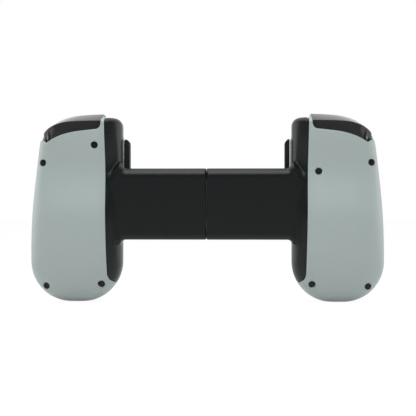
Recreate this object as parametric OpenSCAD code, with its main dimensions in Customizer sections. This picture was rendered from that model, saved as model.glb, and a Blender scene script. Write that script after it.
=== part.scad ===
// Telescoping game controller that holds a phone between two grips.
// It stands as it is photographed: X runs along the bridge, Z is up, the back faces -Y.
// Everything is modelled on the +X grip, the left one as held, and mirrored for the right one.

/* [Overall] */
// Width of the closed controller
closed_w = 176; // [172:0.5:182]
// Width of one grip
grip_w = 46; // [44.5:0.5:48]
// Height of a grip to the top of its shoulder
grip_h = 92.5; // [91:0.5:96]
// Depth of the palm swell behind the parting plane
swell_depth = 17; // [16:0.25:18.5]
// Height of the deepest point of the palm swell
swell_z = 40; // [36:1:44]
// Depth of the finger groove under the trigger
groove_depth = 12.4; // [12:0.1:13.2]
// Height of the finger groove
groove_z = 67; // [64:0.5:70]
// Depth of the rim under the trigger
rim_depth = 13.2; // [13:0.1:14]
// Depth of a grip in front of the parting plane
front_depth = 9; // [8.6:0.2:10]
// Wall of the grip shells
wall = 1.8; // [1.4:0.1:2]

/* [Grip outline] */
// Radius of the grip's foot
toe_r = 20; // [18:0.5:21]
// Radius of the shoulder over the trigger
shoulder_r = 17; // [15:0.5:18]
// How far the shoulder stands in from the outer side
shoulder_in = 4.6; // [4:0.2:6]
// Slope of the outer side where the shoulder starts, in degrees
shoulder_slope = 10; // [8:0.5:12]
// Radius of the strip's upper corner
corner_r = 3.5; // [2.5:0.25:4.5]
// Rise of the trigger's inner end over the shoulder
crest = 1.1; // [0.4:0.1:1.4]
// Width of the dark strip along the inner side
strip_w = 7.6; // [7:0.1:8.5]
// How much narrower the strip is at its foot
strip_lean = 1.1; // [0.5:0.1:1.5]
// Height of the strip's foot
strip_foot = 9.5; // [8:0.5:12]
// Radius of the strip's lower corner
strip_r = 5; // [4:0.5:6]
// Step by which the front shell stands proud of the strip
inner_step = 0.8; // [0.5:0.1:1]

/* [Bridge] */
// Height of the bridge
bridge_h = 35; // [34:0.5:38]
// Thickness of the bridge
bridge_t = 8.5; // [8.2:0.1:9.2]
// Height of the bridge's middle, where the phone's middle lies
bridge_mid = 48.5; // [47:0.5:50]
// Depth of the phone rest behind the parting plane
phone_rest = 3; // [2.8:0.1:3.2]
// Wall of the bridge
bridge_wall = 1.6; // [1.2:0.1:1.8]
// Fillet between the bridge and the strip
bridge_fillet = 2.5; // [1.5:0.25:3.5]
// Roundness of the bridge's upper back edge
bridge_edge = 3.4; // [3:0.2:4]
// Roundness of the bridge's lower back edge
bridge_foot = 2.25; // [1.5:0.25:3]
// Travel of each half from closed to open
travel = 43; // [30:1:44]
// Gap between the closed halves
seam_gap = 0.3; // [0.2:0.05:0.5]

/* [Slide] */
// Thickness of the slide plate
plate_t = 1.2; // [1:0.1:1.4]
// Half length of the slide plate
plate_reach = 54; // [52:0.5:54]
// Height of the slide plate
plate_h = 25; // [22:0.5:25.5]
// Teeth of the pinion
teeth = 18; // [17:1:19]
// Module of the teeth
tooth_module = 0.56; // [0.52:0.01:0.58]
// Thickness of the pinion and the racks
gear_t = 2.4; // [1.8:0.1:2.6]
// Play between the teeth
backlash = 0.16; // [0.12:0.02:0.2]
// Outer diameter of the return springs
return_d = 2.6; // [2:0.1:2.8]
// Turns of a return spring
return_turns = 9; // [7:1:12]

/* [Phone hold] */
// Thickness of the rubber pad at each end of the phone
pad_t = 2.3; // [1.8:0.1:2.8]
// Top of the pad above the middle of the bridge
pad_rise = 32.3; // [30:0.1:33]
// Bottom of the pad below the middle of the bridge
pad_drop = 15.5; // [13:0.5:17]
// Depth of the pad along the phone's thickness
pad_d = 6.6; // [5.5:0.1:7]
// Width of the phone plug
plug_w = 8.3; // [8:0.1:8.6]
// Thickness of the phone plug
plug_h = 2.4; // [2.2:0.1:2.6]
// Length of the plug beyond the pad
plug_len = 6.5; // [6:0.1:6.8]

/* [Controls] */
// Diameter of a thumbstick cap
stick_d = 14; // [12:0.5:15]
// Height of a thumbstick above the front
stick_rise = 8; // [7.4:0.1:8.4]
// Tilt of a thumbstick to each side, in degrees
stick_tilt = 16; // [12:1:16]
// Diameter of a face button
button_d = 9; // [8:0.25:9.5]
// Distance of a face button from the middle of the four
button_pitch = 8.6; // [8.4:0.1:9]
// Height of a face button above the front
button_rise = 2.2; // [1.8:0.1:2.6]
// Travel of a face button
button_travel = 1.2; // [0.8:0.1:1.4]
// Diameter of a small button
small_d = 4.6; // [4:0.2:5]
// Height of a small button above the front
small_rise = 0.8; // [0.6:0.1:1]
// Reach of the direction pad's arms
cross_reach = 9.5; // [9:0.25:10]
// Width of the direction pad's arms
cross_arm = 6.6; // [6:0.2:7]
// Height of the direction pad above the front
cross_rise = 2; // [1.6:0.1:2.4]

/* [Triggers] */
// Wall left of the rear cover where the trigger passes
rim_wall = 1; // [0.8:0.1:1.2]
// Wall of the trigger
trigger_wall = 1.6; // [1.2:0.1:1.8]
// Height of the cover's rim at the trigger's inner end, below the shoulder's top
rim_below = 7.3; // [7:0.1:7.8]
// Fall of the rim towards the trigger's outer end
rim_fall = 4; // [3:0.1:4.4]
// Radius of the notch's inner corner
notch_r = 3; // [2:0.25:3.5]
// Cover left between the notch and the seam
pillar = 1.4; // [1.2:0.1:1.8]
// Slope of the trigger's top band, in degrees
band_slope = 14; // [10:1:16]
// Radius of the trigger pin
pin_r = 1; // [0.9:0.05:1.1]
// Travel of the bumper at its outer end
bumper_travel = 0.5; // [0.4:0.05:0.6]

/* [Sockets and screws] */
// Radius of the headphone socket's bore
jack_r = 1.8; // [1.75:0.01:1.9]
// Depth of the headphone socket's bore
jack_depth = 13; // [11:0.5:14]
// Radius of a cover screw's head
screw_head_r = 1.5; // [1.3:0.05:1.6]
// Radius of a cover screw's shank
screw_r = 0.9; // [0.8:0.05:1]

/* [Hidden] */

// Sides: the left grip as held lies at +X, the right one at -X
LEFT = 1;
RIGHT = -1;

// Clearances: past moving pieces, round running pins, between fixed mouldings
gap = 0.3;
running = 0.05;
seam = 0.12;
over = 1;
$fn = 32;

// Places along X
x_out = closed_w / 2;
x_in = x_out - grip_w;
x_seam = x_in + strip_w;
x_face = x_in - inner_step;
x_pad = x_face - pad_t;
x_half = seam_gap / 2;

// Shoulder arc and the point where the side runs into it
shoulder_x = x_out - shoulder_in - shoulder_r;
shoulder_z = grip_h - shoulder_r;
side_x = shoulder_x + shoulder_r * cos(shoulder_slope);
side_z = shoulder_z + shoulder_r * sin(shoulder_slope);

// Bridge planes
bridge_lo = bridge_mid - bridge_h / 2;
bridge_hi = bridge_mid + bridge_h / 2;
rest_y = -phone_rest;
bridge_back = rest_y - bridge_t;
cover_t = bridge_wall;
cover_y = rest_y - cover_t;
channel_back = bridge_back + bridge_wall;

// Roundness of the grips: back, front, toe and top edge
back_power = 2.8;
front_power = 6;
toe_power = 2.2;
top_round = 3;
top_keep = 0.45;
front_toe = 9;
lowest = 0.2;
crest_in = 2;
slices = 18;
ring_steps = 12;
inner_slices = 12;
inner_steps = 6;
post_fn = 12;
sweep_fn = 24;
hole_fn = 20;

// Trigger pin and the trigger's ends
trig_y = -1.2;
pin_below = 9.5;
trig_z = grip_h - pin_below;
rim_line = 9;
rim_z = grip_h - rim_line;

// Front surfaces
front_in = front_depth - wall;
board_t = 1.2;
board_y = -1;

function mix(a, b, t) = a + (b - a) * t;
function ease(t) = t * t * (3 - 2 * t);
function signed_pow(v, e) = sign(v) * pow(abs(v), e);

// Outer side of a grip at height z, drawn in by an inset
function outer_edge(z, inset) =
    z < toe_r ? x_out - toe_r + sqrt(max(0, pow(toe_r - inset, 2) - pow(toe_r - z, 2)))
    : z < side_z ? x_out - inset - (x_out - side_x) * pow((z - toe_r) / (side_z - toe_r), 2)
    : shoulder_x + sqrt(max(0, pow(shoulder_r - inset, 2) - pow(z - shoulder_z, 2)));

// Inner side of a grip at height z, drawn in by an inset
function inner_edge(z, inset) =
    z < toe_r ? x_in + toe_r - sqrt(max(0, pow(toe_r - inset, 2) - pow(toe_r - z, 2)))
    : z < grip_h - corner_r ? x_in + inset
    : x_in + corner_r - sqrt(max(0, pow(max(corner_r - inset, 0), 2) - pow(z - grip_h + corner_r, 2)));

// Rounding of a depth towards the top edge
function top_fade(z) =
    let (t = max(0, z - grip_h + top_round) / top_round)
    mix(top_keep, 1, sqrt(max(0, 1 - t * t)));

// Depth of the back at height z: toe, palm swell, finger groove, rim under the trigger
function back_depth(z) =
    top_fade(z) * (
        z < swell_z ? swell_depth * pow(1 - pow(1 - max(z, lowest) / swell_z, toe_power), 1 / toe_power)
        : z < groove_z ? mix(swell_depth, groove_depth, ease((z - swell_z) / (groove_z - swell_z)))
        : z < rim_z ? mix(groove_depth, rim_depth, ease((z - groove_z) / (rim_z - groove_z)))
        : rim_depth);

// Depth of the front at height z
function front_at(z) =
    top_fade(z) * front_depth
    * (z < front_toe ? pow(1 - pow(1 - max(z, lowest) / front_toe, toe_power), 1 / toe_power) : 1);

// Depth of the back surface at a point of the grip
function back_at(x, z) =
    let (o = outer_edge(z, 0), i = inner_edge(z, 0))
    let (u = abs(2 * x - o - i) / (o - i))
    back_depth(z) * pow(max(0, 1 - pow(u, back_power)), 1 / back_power);

// One ring of a grip half at height z, running clockwise seen from above
function grip_ring(z, inset, front, steps, lip) =
    let (o = outer_edge(z, inset))
    let (i = inner_edge(z, inset) - (front ? inner_step : 0))
    let (d = max(lowest, (front ? front_at(z) : back_depth(z)) - inset))
    let (e = 2 / (front ? front_power : back_power), way = front ? 1 : -1)
    let (ends = front ? [i, o] : [o, i])
    concat(
        lip > 0 ? [[ends[0], -way * lip, z]] : [],
        [for (k = [0 : steps])
            let (a = 180 * k / steps)
            [(o + i) / 2 - way * (o - i) / 2 * signed_pow(cos(a), e), way * d * pow(sin(a), e), z]],
        lip > 0 ? [[ends[1], -way * lip, z]] : []);

// Half of a grip as a loft of rings from the toe to the top, closed at the parting plane
module grip_half(inset, front, n, steps, lip) {
    rings = [for (k = [0 : n])
        let (z = inset + (grip_h - 2 * inset) * (1 - cos(180 * k / n)) / 2)
        grip_ring(z, inset, front, steps, lip)];
    m = len(rings[0]);
    sides = [for (k = [0 : n - 1], j = [0 : m - 1])
        let (a = k * m + j, b = k * m + (j + 1) % m)
        each [[a, b, b + m], [a, b + m, a + m]]];
    caps = [[for (j = [m - 1 : -1 : 0]) j], [for (j = [0 : m - 1]) n * m + j]];
    polyhedron([for (r = rings) each r], concat(sides, caps), convexity = 6);
}

// Outline of a grip seen from the back, with the crest over the trigger's inner end
function outline_points(inset) =
    concat(
        [for (k = [0 : slices])
            let (z = inset + (grip_h - 2 * inset) * (1 - cos(180 * k / slices)) / 2)
            [outer_edge(z, inset), z]],
        [[x_seam + crest_in + inset, grip_h + crest - inset]],
        [for (k = [slices : -1 : 0])
            let (z = inset + (grip_h - 2 * inset) * (1 - cos(180 * k / slices)) / 2)
            [inner_edge(z, inset), z]]);

// Flat shape in X and Z, extruded along Y from y0 to y1
module slab(y0, y1) {
    translate([0, y1, 0]) rotate([90, 0, 0]) linear_extrude(y1 - y0) children();
}

// Rod along Y
module rod_y(r, y0, y1) {
    translate([0, y1, 0]) rotate([90, 0, 0]) cylinder(r = r, h = y1 - y0);
}

// The region of the dark strip, seen from the back
module strip_shape(grow) {
    hull() {
        translate([x_seam - strip_lean + grow - strip_r, strip_foot - grow + strip_r]) circle(strip_r);
        translate([x_face - over, strip_foot - grow]) square([over, strip_r]);
        translate([x_face - over, grip_h]) square([x_seam + grow - x_face + over, over]);
    }
}

// Hollow back half of a grip
module back_shell() {
    difference() {
        grip_half(0, false, slices, ring_steps, 0);
        grip_half(wall, false, inner_slices, inner_steps, over);
    }
}

// Puts a piece on one side of the controller
module on_side(side) {
    mirror([side < 0 ? 1 : 0, 0, 0]) children();
}

// Places of the trigger: its ends, its arms and the lugs that hold its pin
trigger_x0 = x_seam + pillar + gap;
trigger_x1 = outer_edge(trig_z, lowest) - gap;
trigger_front = -2 * gap;
trigger_lap = 2.1;
hub_r = 2;
arm_t = 1.8;
arm_in = 6.4;
arm_out = 4.9;
arm_x0 = trigger_x0 + arm_in;
arm_x1 = trigger_x1 - arm_out;
lug_t = 1.6;
lug_x0 = arm_x0 + arm_t + gap;
lug_x1 = arm_x1 - lug_t - gap;

// Reach of the trigger's face from its pin, following the inside of the rear cover
function trigger_reach(x) = back_at(x, trig_z) - rim_wall - gap + trig_y;

// Height of the cover's rim under the trigger: sloping, then falling, with a round inner corner
rim_slope = 0.11;
rim_bend = 9;
rim_power = 2.5;
notch_x = trigger_x0 - gap;
tip_x = trigger_x1 - 2;
function rim_at(x) =
    let (fall = max(0, x - notch_x - rim_bend) / (tip_x - notch_x - rim_bend))
    let (turn = max(0, notch_x + notch_r - x))
    grip_h - rim_below - rim_slope * (x - notch_x) - rim_fall * pow(fall, rim_power)
    + notch_r - sqrt(max(0, notch_r * notch_r - turn * turn));

// Everything over the rim, lowered by a drop, and over the lip that rises beside the tip and runs on to x1
module over_rim(x0, x1, drop) {
    steps = 10;
    lip_w = 1.5;
    lip_rise = 2.4;
    lip_z = rim_at(tip_x) + lip_rise;
    lip = drop > 0 ? [tip_x, lip_z + 2 * gap] : [tip_x + lip_w, lip_z];
    polygon(concat(
        [for (k = [0 : steps]) let (x = mix(x0, tip_x, pow(k / steps, 2))) [x, rim_at(x) - drop]],
        [lip, [x1, lip[1]]],
        [[x1, grip_h + crest + over], [x0, grip_h + crest + over]]));
}

// Body of revolution about the trigger pin, within which the trigger swings
module trigger_sweep(inset, x0, x1) {
    steps = 7;
    translate([0, trig_y, trig_z]) rotate([0, 90, 0]) rotate_extrude()
        polygon(concat(
            [[0, x0]],
            [for (k = [0 : steps])
                let (x = mix(x0, x1, k / steps))
                [trigger_reach(x) - inset, x]],
            [[0, x1]]));
}

// Screws of the rear cover: upper outer, lower outer, lower inner, upper inner
screw_outer_x = x_out - 7.5;
screw_toe_x = x_out - 9.3;
screw_foot_x = x_in + 9.3;
screw_inner_x = x_in + 12.5;
screw_outer_z = grip_h - 23.75;
screw_toe_z = 8.3;
screw_foot_z = 9.3;
screw_left_z = grip_h - 28.1;
screw_right_z = grip_h - 15.3;
function screw_places(side) = [
    [screw_outer_x, screw_outer_z],
    [screw_toe_x, screw_toe_z],
    [screw_foot_x, screw_foot_z],
    [screw_inner_x, side > 0 ? screw_left_z : screw_right_z]
];
head_t = 1;
head_recess = 1.3;
post_r = 2;
function seat_y(p) = -back_at(p[0], p[1]) + head_recess + head_t;

// Pale back cover of a grip
module rear_cover(side) {
    color([0.63, 0.68, 0.67]) on_side(side) union() {
        difference() {
            back_shell();
            slab(-swell_depth - over, over) strip_shape(seam);
            slab(-swell_depth - over, over) over_rim(notch_x, x_out, 0);
            trigger_sweep(-gap, notch_x, trigger_x1 + gap, $fn = sweep_fn);
            socket_cut(side);
            translate([0, plate_y0 - gap, bridge_mid - plate_h / 2 - gap])
                cube([plate_reach + gap, plate_t + 2 * gap, plate_h + 2 * gap]);
            for (p = screw_places(side)) translate([p[0], 0, p[1]])
                rod_y(screw_head_r + gap / 2, -swell_depth - over, seat_y(p), $fn = sweep_fn);
            for (p = screw_places(side)) screw_bore(p, over);
        }
        for (p = screw_places(side)) cover_boss(p);
    }
}

// Boss of the rear cover round a screw, from the head's seat to the parting plane
module cover_boss(p) {
    flare = 0.8;
    $fn = post_fn;
    intersection() {
        grip_half(0, false, slices, ring_steps, 0);
        translate([p[0], 0, p[1]]) difference() {
            union() {
                rod_y(post_r, seat_y(p), -seam);
                hull() {
                    rod_y(post_r + flare, seat_y(p) - head_t, seat_y(p) + flare);
                    rod_y(post_r, seat_y(p) + flare, seat_y(p) + 2 * flare);
                }
            }
            hull() {
                rod_y(screw_head_r + gap / 2, -swell_depth - over, seat_y(p) - running);
                rod_y(screw_head_r + gap / 4, seat_y(p) - running, seat_y(p));
            }
            rod_y(screw_r + running, -swell_depth, over);
        }
    }
}

// Bore that a screw's shank runs in, up to a depth of the front
module screw_bore(p, y1) {
    translate([p[0], 0, p[1]]) rod_y(screw_r + running, -swell_depth - over, y1, $fn = post_fn);
}

// Four screws of a rear cover
module cover_screws(side) {
    color([0.16, 0.17, 0.17]) on_side(side)
        for (p = screw_places(side)) translate([p[0], 0, p[1]]) {
            rod_y(screw_head_r, seat_y(p) - head_t, seat_y(p));
            rod_y(screw_r, seat_y(p) - head_t / 2, screw_bite);
        }
}
screw_bite = 4.5;
post_foot = 1;

// Places on the front, as distances from the grip's inner and outer sides
stick_x = x_out - 20.5;
stick_hi = grip_h - 26.5;
low_x = x_in + 21;
low_z = grip_h - 57.5;
cluster_x = x_out - 22.7;
cluster_z = grip_h - 28;
small_x = x_in + 7.8;
small_hi = grip_h - 18.5;
small_lo = low_z - 14;
jack_x = x_in + toe_r + 3;
jack_y = 2.6;
plug_y = rest_y + 4.2;

// Thumbstick: pivot depth, its skirt and the hole in the shell
pivot_y = board_y + 2.4;
skirt_t = 0.8;
skirt_r = 8.9;
stick_hole_r = 7.4;

// Openings of the front
button_r = button_d / 2;
small_r = small_d / 2;
rock_gap = 0.7;

// Where each face button stands round the middle of the four
function cluster_place(turn) =
    [cluster_x + button_pitch * cos(turn), cluster_z + button_pitch * sin(turn)];

// Round opening of the front with a softened edge
module front_hole(p, r) {
    soft = 0.5;
    $fn = hole_fn;
    translate([p[0], 0, p[1]]) {
        rod_y(r, front_in - over, front_depth + over);
        hull() {
            rod_y(r, front_depth - soft, front_depth - soft + running);
            rod_y(r + soft + over, front_depth + over, front_depth + over + running);
        }
    }
}

// Cross of the direction pad, grown by a gap
module cross_shape(grow) {
    for (turn = [0, 90]) rotate(turn)
        square([2 * (cross_reach + grow), cross_arm + 2 * grow], center = true);
}

// Stadium with round ends, wide along X
module stadium(w, h) {
    hull() for (s = [-1, 1]) translate([s * (w - h) / 2, 0]) circle(d = h);
}

// Hollow front of a grip with posts for the cover screws
module front_body(side) {
    bumper_room = bumper_y1 + gap;
    difference() {
        grip_half(0, true, slices, ring_steps, 0);
        grip_half(wall, true, inner_slices, inner_steps, over);
        slab(-over, bumper_room) translate([notch_x, bumper_z - bumper_travel - seam])
            square([x_out, grip_h]);
        translate([bumper_x, 0, bumper_pivot_z])
            rod_y(bumper_pin_r + running, 0, front_depth - wall / 2);
        for (p = screw_places(side)) screw_bore(p, screw_bite + post_foot / 2);
    }
    intersection() {
        grip_half(0, true, slices, ring_steps, 0);
        union() {
            for (p = screw_places(side)) front_post(p);
            switch_shelf();
        }
    }
    for (x = [lug_x0, lug_x1]) pin_lug(x);
}

// Post of the front shell that takes a cover screw
module front_post(p) {
    $fn = post_fn;
    translate([p[0], 0, p[1]]) difference() {
        union() {
            rod_y(post_r, 0, front_in + post_foot / 2);
            hull() {
                rod_y(post_r, front_in - 2 * post_foot, front_in - post_foot);
                rod_y(post_r + post_foot / 2, front_in, front_in + post_foot / 2);
            }
        }
        rod_y(screw_r + running, -over, screw_bite + post_foot / 2);
    }
}

// Lug of the front shell that carries the trigger pin
module pin_lug(x) {
    foot_z = trig_z - 6;
    translate([x, 0, 0]) rotate([90, 0, 90]) linear_extrude(lug_t) difference() {
        hull() {
            translate([trig_y, trig_z]) circle(hub_r);
            translate([front_in, foot_z]) square([wall / 2, hub_r]);
        }
        translate([trig_y, trig_z]) circle(pin_r + running);
    }
}

// Shelf between the lugs that the bumper switch stands on
module switch_shelf() {
    shelf_t = 1;
    translate([lug_x0, switch_y0 - gap, switch_z0 - shelf_t])
        cube([lug_x1 + lug_t - lug_x0, front_in + wall / 2 - switch_y0 + gap, shelf_t]);
}

// Bumper: its place over the lugs, its hinge pin and the switch below it
bumper_clear = 1.8;
bumper_y0 = trigger_front + bumper_clear;
bumper_y1 = front_in - gap;
bumper_z = trig_z + hub_r + 0.4;
bumper_x = trigger_x0 + 2.4;
bumper_pivot_z = bumper_z + 3;
bumper_pin_r = 0.8;
switch_h = 1.6;
switch_z0 = bumper_z - bumper_travel - seam - switch_h;
switch_y0 = bumper_y0 + 1.4;
switch_w = 4;
switch_d = 3;

// Front of the left grip: thumbstick above, direction pad below, headphone socket
module left_front_shell() {
    color([0.72, 0.76, 0.75]) union() difference() {
        front_body(LEFT);
        front_hole([stick_x, stick_hi], stick_hole_r);
        for (z = [small_hi, small_lo]) front_hole([small_x, z], small_r + gap);
        slab(front_in - over, front_depth + over) translate([low_x, low_z]) cross_shape(rock_gap);
        socket_cut(LEFT);
    }
}
jack_wall_r = jack_r + 1;
socket_w = 9.4;
socket_h = 3.6;

// Hole in the foot of a grip: for the headphones on the left, for charging on the right
module socket_cut(side) {
    deep = 2 * wall + over;
    translate([jack_x, jack_y, -over]) linear_extrude(deep)
        if (side > 0) circle(jack_wall_r + gap);
        else offset(gap) stadium(socket_w, socket_h);
}

// Front of the right grip: face buttons above, thumbstick below, plug and charging socket
module right_front_shell() {
    color([0.72, 0.76, 0.75]) on_side(RIGHT) union() difference() {
        front_body(RIGHT);
        for (turn = [0 : 90 : 270]) front_hole(cluster_place(turn), button_r + gap);
        front_hole([low_x, low_z], stick_hole_r);
        for (z = [small_hi, small_lo]) front_hole([small_x, z], small_r + gap);
        plug_hole();
        socket_cut(RIGHT);
    }
}

// Collar of the phone plug and its hole through the inner wall of the right grip
collar = 2;
module collar_shape(grow) {
    rotate(90) stadium(plug_w + collar + 2 * grow, plug_h + collar + 2 * grow);
}
module plug_hole() {
    translate([x_face - over, plug_y, bridge_mid]) rotate([90, 0, 90])
        linear_extrude(2 * (wall + over)) collar_shape(gap);
}

// Cross section of the bridge with round back edges, as a thin plate at x
edge_r = min(bridge_edge, (cover_y - bridge_back) / 2);
foot_r = min(bridge_foot, edge_r);
module bridge_section(x, back) {
    thin = 0.05;
    translate([x, 0, 0]) {
        translate([0, back + edge_r, bridge_hi - edge_r]) rotate([0, 90, 0]) cylinder(r = edge_r, h = thin);
        translate([0, back + foot_r, bridge_lo + foot_r]) rotate([0, 90, 0]) cylinder(r = foot_r, h = thin);
        translate([0, cover_y - thin, bridge_lo]) cube([thin, thin, bridge_h]);
    }
}

// Fillet in the corner between the bridge and the strip, above or below
module bridge_corner(way) {
    root = 4;
    z0 = way > 0 ? bridge_hi : bridge_lo;
    slab(bridge_back + edge_r, cover_y) translate([x_in, z0]) flipped(way) difference() {
        translate([-bridge_fillet, -root]) square([bridge_fillet + root, bridge_fillet + root]);
        translate([-bridge_fillet, bridge_fillet]) circle(bridge_fillet);
        translate([-bridge_fillet - over, bridge_fillet]) square([root, over]);
    }
}

// Turns a flat shape upside down when way is negative
module flipped(way) {
    mirror([0, way < 0 ? 1 : 0]) children();
}

// Dark moulding of one side: the strip along the grip and its half of the bridge
module bridge_housing(side) {
    tail = 1.2;
    root_run = 5;
    rib_t = 0.9;
    rib_in = 2;
    boss_r = 1.2;
    boss_in = 6;
    channel_h = bridge_h - 2 * bridge_wall;
    color([0.15, 0.17, 0.17]) on_side(side) union() {
        difference() {
            union() {
                intersection() {
                    grip_half(0, false, slices, ring_steps, 0);
                    slab(-swell_depth - over, over) strip_shape(0);
                }
                hull() {
                    bridge_section(x_half, bridge_back);
                    bridge_section(x_in + root_run, bridge_back);
                }
                hull() {
                    bridge_section(x_in + root_run, bridge_back);
                    bridge_section(x_seam - tail, bridge_back + tail);
                }
                for (way = [-1, 1]) bridge_corner(way);
            }
            intersection() {
                grip_half(wall, false, inner_slices, inner_steps, over);
                slab(-swell_depth, 2 * over) strip_shape(over);
            }
            if (side < 0) plug_hole();
            translate([-over, channel_back, bridge_lo + bridge_wall])
                cube([x_seam + 2 * over, cover_y - channel_back, channel_h]);
            translate([-over, channel_back + over, bridge_lo + bridge_wall])
                cube([x_in - over, phone_rest + bridge_t, channel_h]);
        }
        for (way = [-1, 1])
            translate([x_half + rib_in, 0, bridge_mid + way * (plate_h / 2 + running + rib_t / 2)]) hull() {
                translate([0, channel_back - over / 2, -rib_t / 2]) cube([x_in - x_half, over, rib_t]);
                translate([0, plate_y1 - rib_t, -rib_t / 4]) cube([x_in - x_half, rib_t / 2, rib_t / 2]);
            }
        for (x = [boss_in, x_in - boss_in]) translate([x, 0, bridge_lo + bridge_wall + boss_r]) hull() {
            rod_y(boss_r, channel_back - over / 2, cover_y);
            translate([0, 0, -boss_r]) rod_y(boss_r / 2, channel_back - over / 2, cover_y);
        }
    }
}

// Plate on the phone side of one half of the bridge, with the peg of its return spring
module bridge_cover(side) {
    corner = 2;
    peg_end = plate_y1 + gap;
    color([0.13, 0.14, 0.14]) on_side(side) {
        slab(cover_y, rest_y) hull() {
            translate([x_half, bridge_lo]) square([corner, bridge_h]);
            for (z = [bridge_lo + corner, bridge_hi - corner])
                translate([x_in - seam - corner, z]) circle(corner);
        }
        translate([spring_x1, 0, bridge_mid + side * spring_lane]) rod_y(peg_r, peg_end, cover_y);
    }
}

// Rubber pad that one end of the phone presses on, with a window for the plug on the right
module phone_pad(side) {
    pad_y = gap;
    pad_foot = 1;
    window = 2.4;
    color([0.1, 0.1, 0.1]) on_side(side) difference() {
        slab(pad_y, pad_y + pad_d) hull() {
            translate([x_face - pad_foot, bridge_mid - pad_drop]) square([pad_foot, pad_drop + pad_rise]);
            for (z = [bridge_mid - pad_drop + pad_t, bridge_mid + pad_rise - pad_t])
                translate([x_face, z]) intersection() {
                    circle(pad_t);
                    translate([-pad_t, -pad_t]) square([pad_t, 2 * pad_t]);
                }
        }
        if (side < 0) translate([x_pad - over, plug_y, bridge_mid]) rotate([90, 0, 90])
            linear_extrude(pad_t + 2 * over) rotate(90) stadium(plug_w + window, plug_h + window);
    }
}

// Slide: depths of the plate and the gears, lanes of the springs
plate_y0 = channel_back + gap;
plate_y1 = plate_y0 + plate_t;
gear_y0 = plate_y1 + gap;
gear_y1 = gear_y0 + gear_t;
pitch_r = teeth * tooth_module / 2;
axle_r = 1.5;
peg_r = 0.6;
spring_lane = 10.1;
spring_x0 = 5;
spring_x1 = 31;
spring_wire = 0.4;
spring_y = (plate_y1 + cover_y) / 2;

// Plate that joins the halves, with the pinion's axle and the pegs of the springs
module slide_plate() {
    slot_w = 3;
    slot_len = 27;
    slot_x = 29.7;
    color([0.55, 0.57, 0.58]) difference() {
        union() {
            slab(plate_y0, plate_y1) translate([-plate_reach, bridge_mid - plate_h / 2])
                square([2 * plate_reach, plate_h]);
            translate([0, 0, bridge_mid]) rod_y(axle_r, plate_y1 - plate_t / 2, gear_y1 + gap);
            for (side = [LEFT, RIGHT])
                translate([side * spring_x0, 0, bridge_mid + side * spring_lane])
                    rod_y(peg_r, plate_y1 - plate_t / 2, cover_y - gap);
        }
        for (side = [LEFT, RIGHT])
            slab(plate_y0 - over, plate_y1 + over) translate([side * slot_x, bridge_mid])
                stadium(slot_len, slot_w);
    }
}

// Angle, in degrees, that an involute has turned through at radius r
function involute(base, r) = let (a = acos(min(1, base / r))) tan(a) * 180 / PI - a;

// Half a pinion tooth's width at radius r, as an angle
pressure = 20;
base_r = pitch_r * cos(pressure);
half_tooth = 90 / teeth - backlash / 2 / pitch_r * 180 / PI;
function flank(r) =
    half_tooth + involute(base_r, pitch_r) - (r > base_r ? involute(base_r, r) : 0);

// Pinion that turns between the racks and keeps the halves level
module pinion() {
    root_r = pitch_r - 1.25 * tooth_module;
    tip_r = pitch_r + tooth_module * 0.9;
    radii = [root_r, base_r, pitch_r, (pitch_r + tip_r) / 2, tip_r];
    last = len(radii) - 1;
    color([0.85, 0.83, 0.76]) translate([0, 0, bridge_mid]) slab(gear_y0, gear_y1) difference() {
        polygon([for (t = [0 : teeth - 1]) each concat(
            [for (k = [0 : last])
                let (a = 90 + 360 * t / teeth - flank(radii[k])) radii[k] * [cos(a), sin(a)]],
            [for (k = [last : -1 : 0])
                let (a = 90 + 360 * t / teeth + flank(radii[k])) radii[k] * [cos(a), sin(a)]])]);
        circle(axle_r + running);
    }
}

// Rack of one half, on the upper side of the pinion for the left one and below for the right one
module rack(side) {
    pitch = PI * tooth_module;
    reach = travel + 2;
    tail_x = 24;
    foot_x = 10;
    bar = 2.2;
    tip = tooth_module * 0.9;
    root = tooth_module * 1.25;
    lean = tan(pressure);
    half = pitch / 4 - backlash / 2;
    first = -floor(reach / pitch);
    last = floor(tail_x / pitch) - 1;
    color([0.85, 0.83, 0.76]) translate([0, 0, bridge_mid]) rotate([0, side > 0 ? 0 : 180, 0]) union() {
        slab(gear_y0, gear_y1) translate([0, pitch_r]) polygon(concat(
            [for (t = [first : last]) each [
                [pitch * (t + 0.5) - half - root * lean, root],
                [pitch * (t + 0.5) - half + tip * lean, -tip],
                [pitch * (t + 0.5) + half - tip * lean, -tip],
                [pitch * (t + 0.5) + half + root * lean, root]]],
            [[tail_x, root], [tail_x, root + bar], [pitch * first, root + bar]]));
        slab(gear_y1, cover_y) translate([foot_x, pitch_r + root]) square([tail_x - foot_x, bar]);
    }
}

// Unit vector along v
function unit(v) = v / norm(v);

// Round wire swept along a path that winds about the X direction
module wire(path, r, sides) {
    n = len(path);
    rings = [for (k = [0 : n - 1])
        let (t = unit(path[min(k + 1, n - 1)] - path[max(k - 1, 0)]))
        let (u = unit(cross(t, [1, 0, 0])), v = cross(t, u))
        [for (j = [0 : sides - 1])
            let (a = -360 * j / sides) path[k] + r * (cos(a) * u + sin(a) * v)]];
    faces = concat(
        [[for (j = [sides - 1 : -1 : 0]) j], [for (j = [0 : sides - 1]) (n - 1) * sides + j]],
        [for (k = [0 : n - 2], j = [0 : sides - 1])
            let (a = k * sides + j, b = k * sides + (j + 1) % sides)
            each [[a, b, b + sides], [a, b + sides, a + sides]]]);
    polyhedron([for (ring = rings) each ring], faces, convexity = 8);
}

// Points of a helix along X from x0 to x1
function helix(x0, x1, r, turns, start) =
    let (n = turns * turn_rings)
    [for (k = [0 : n])
        let (a = start + 360 * k / turn_rings)
        [mix(x0, x1, k / n), r * cos(a), r * sin(a)]];
turn_rings = 8;
wire_sides = 6;

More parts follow.
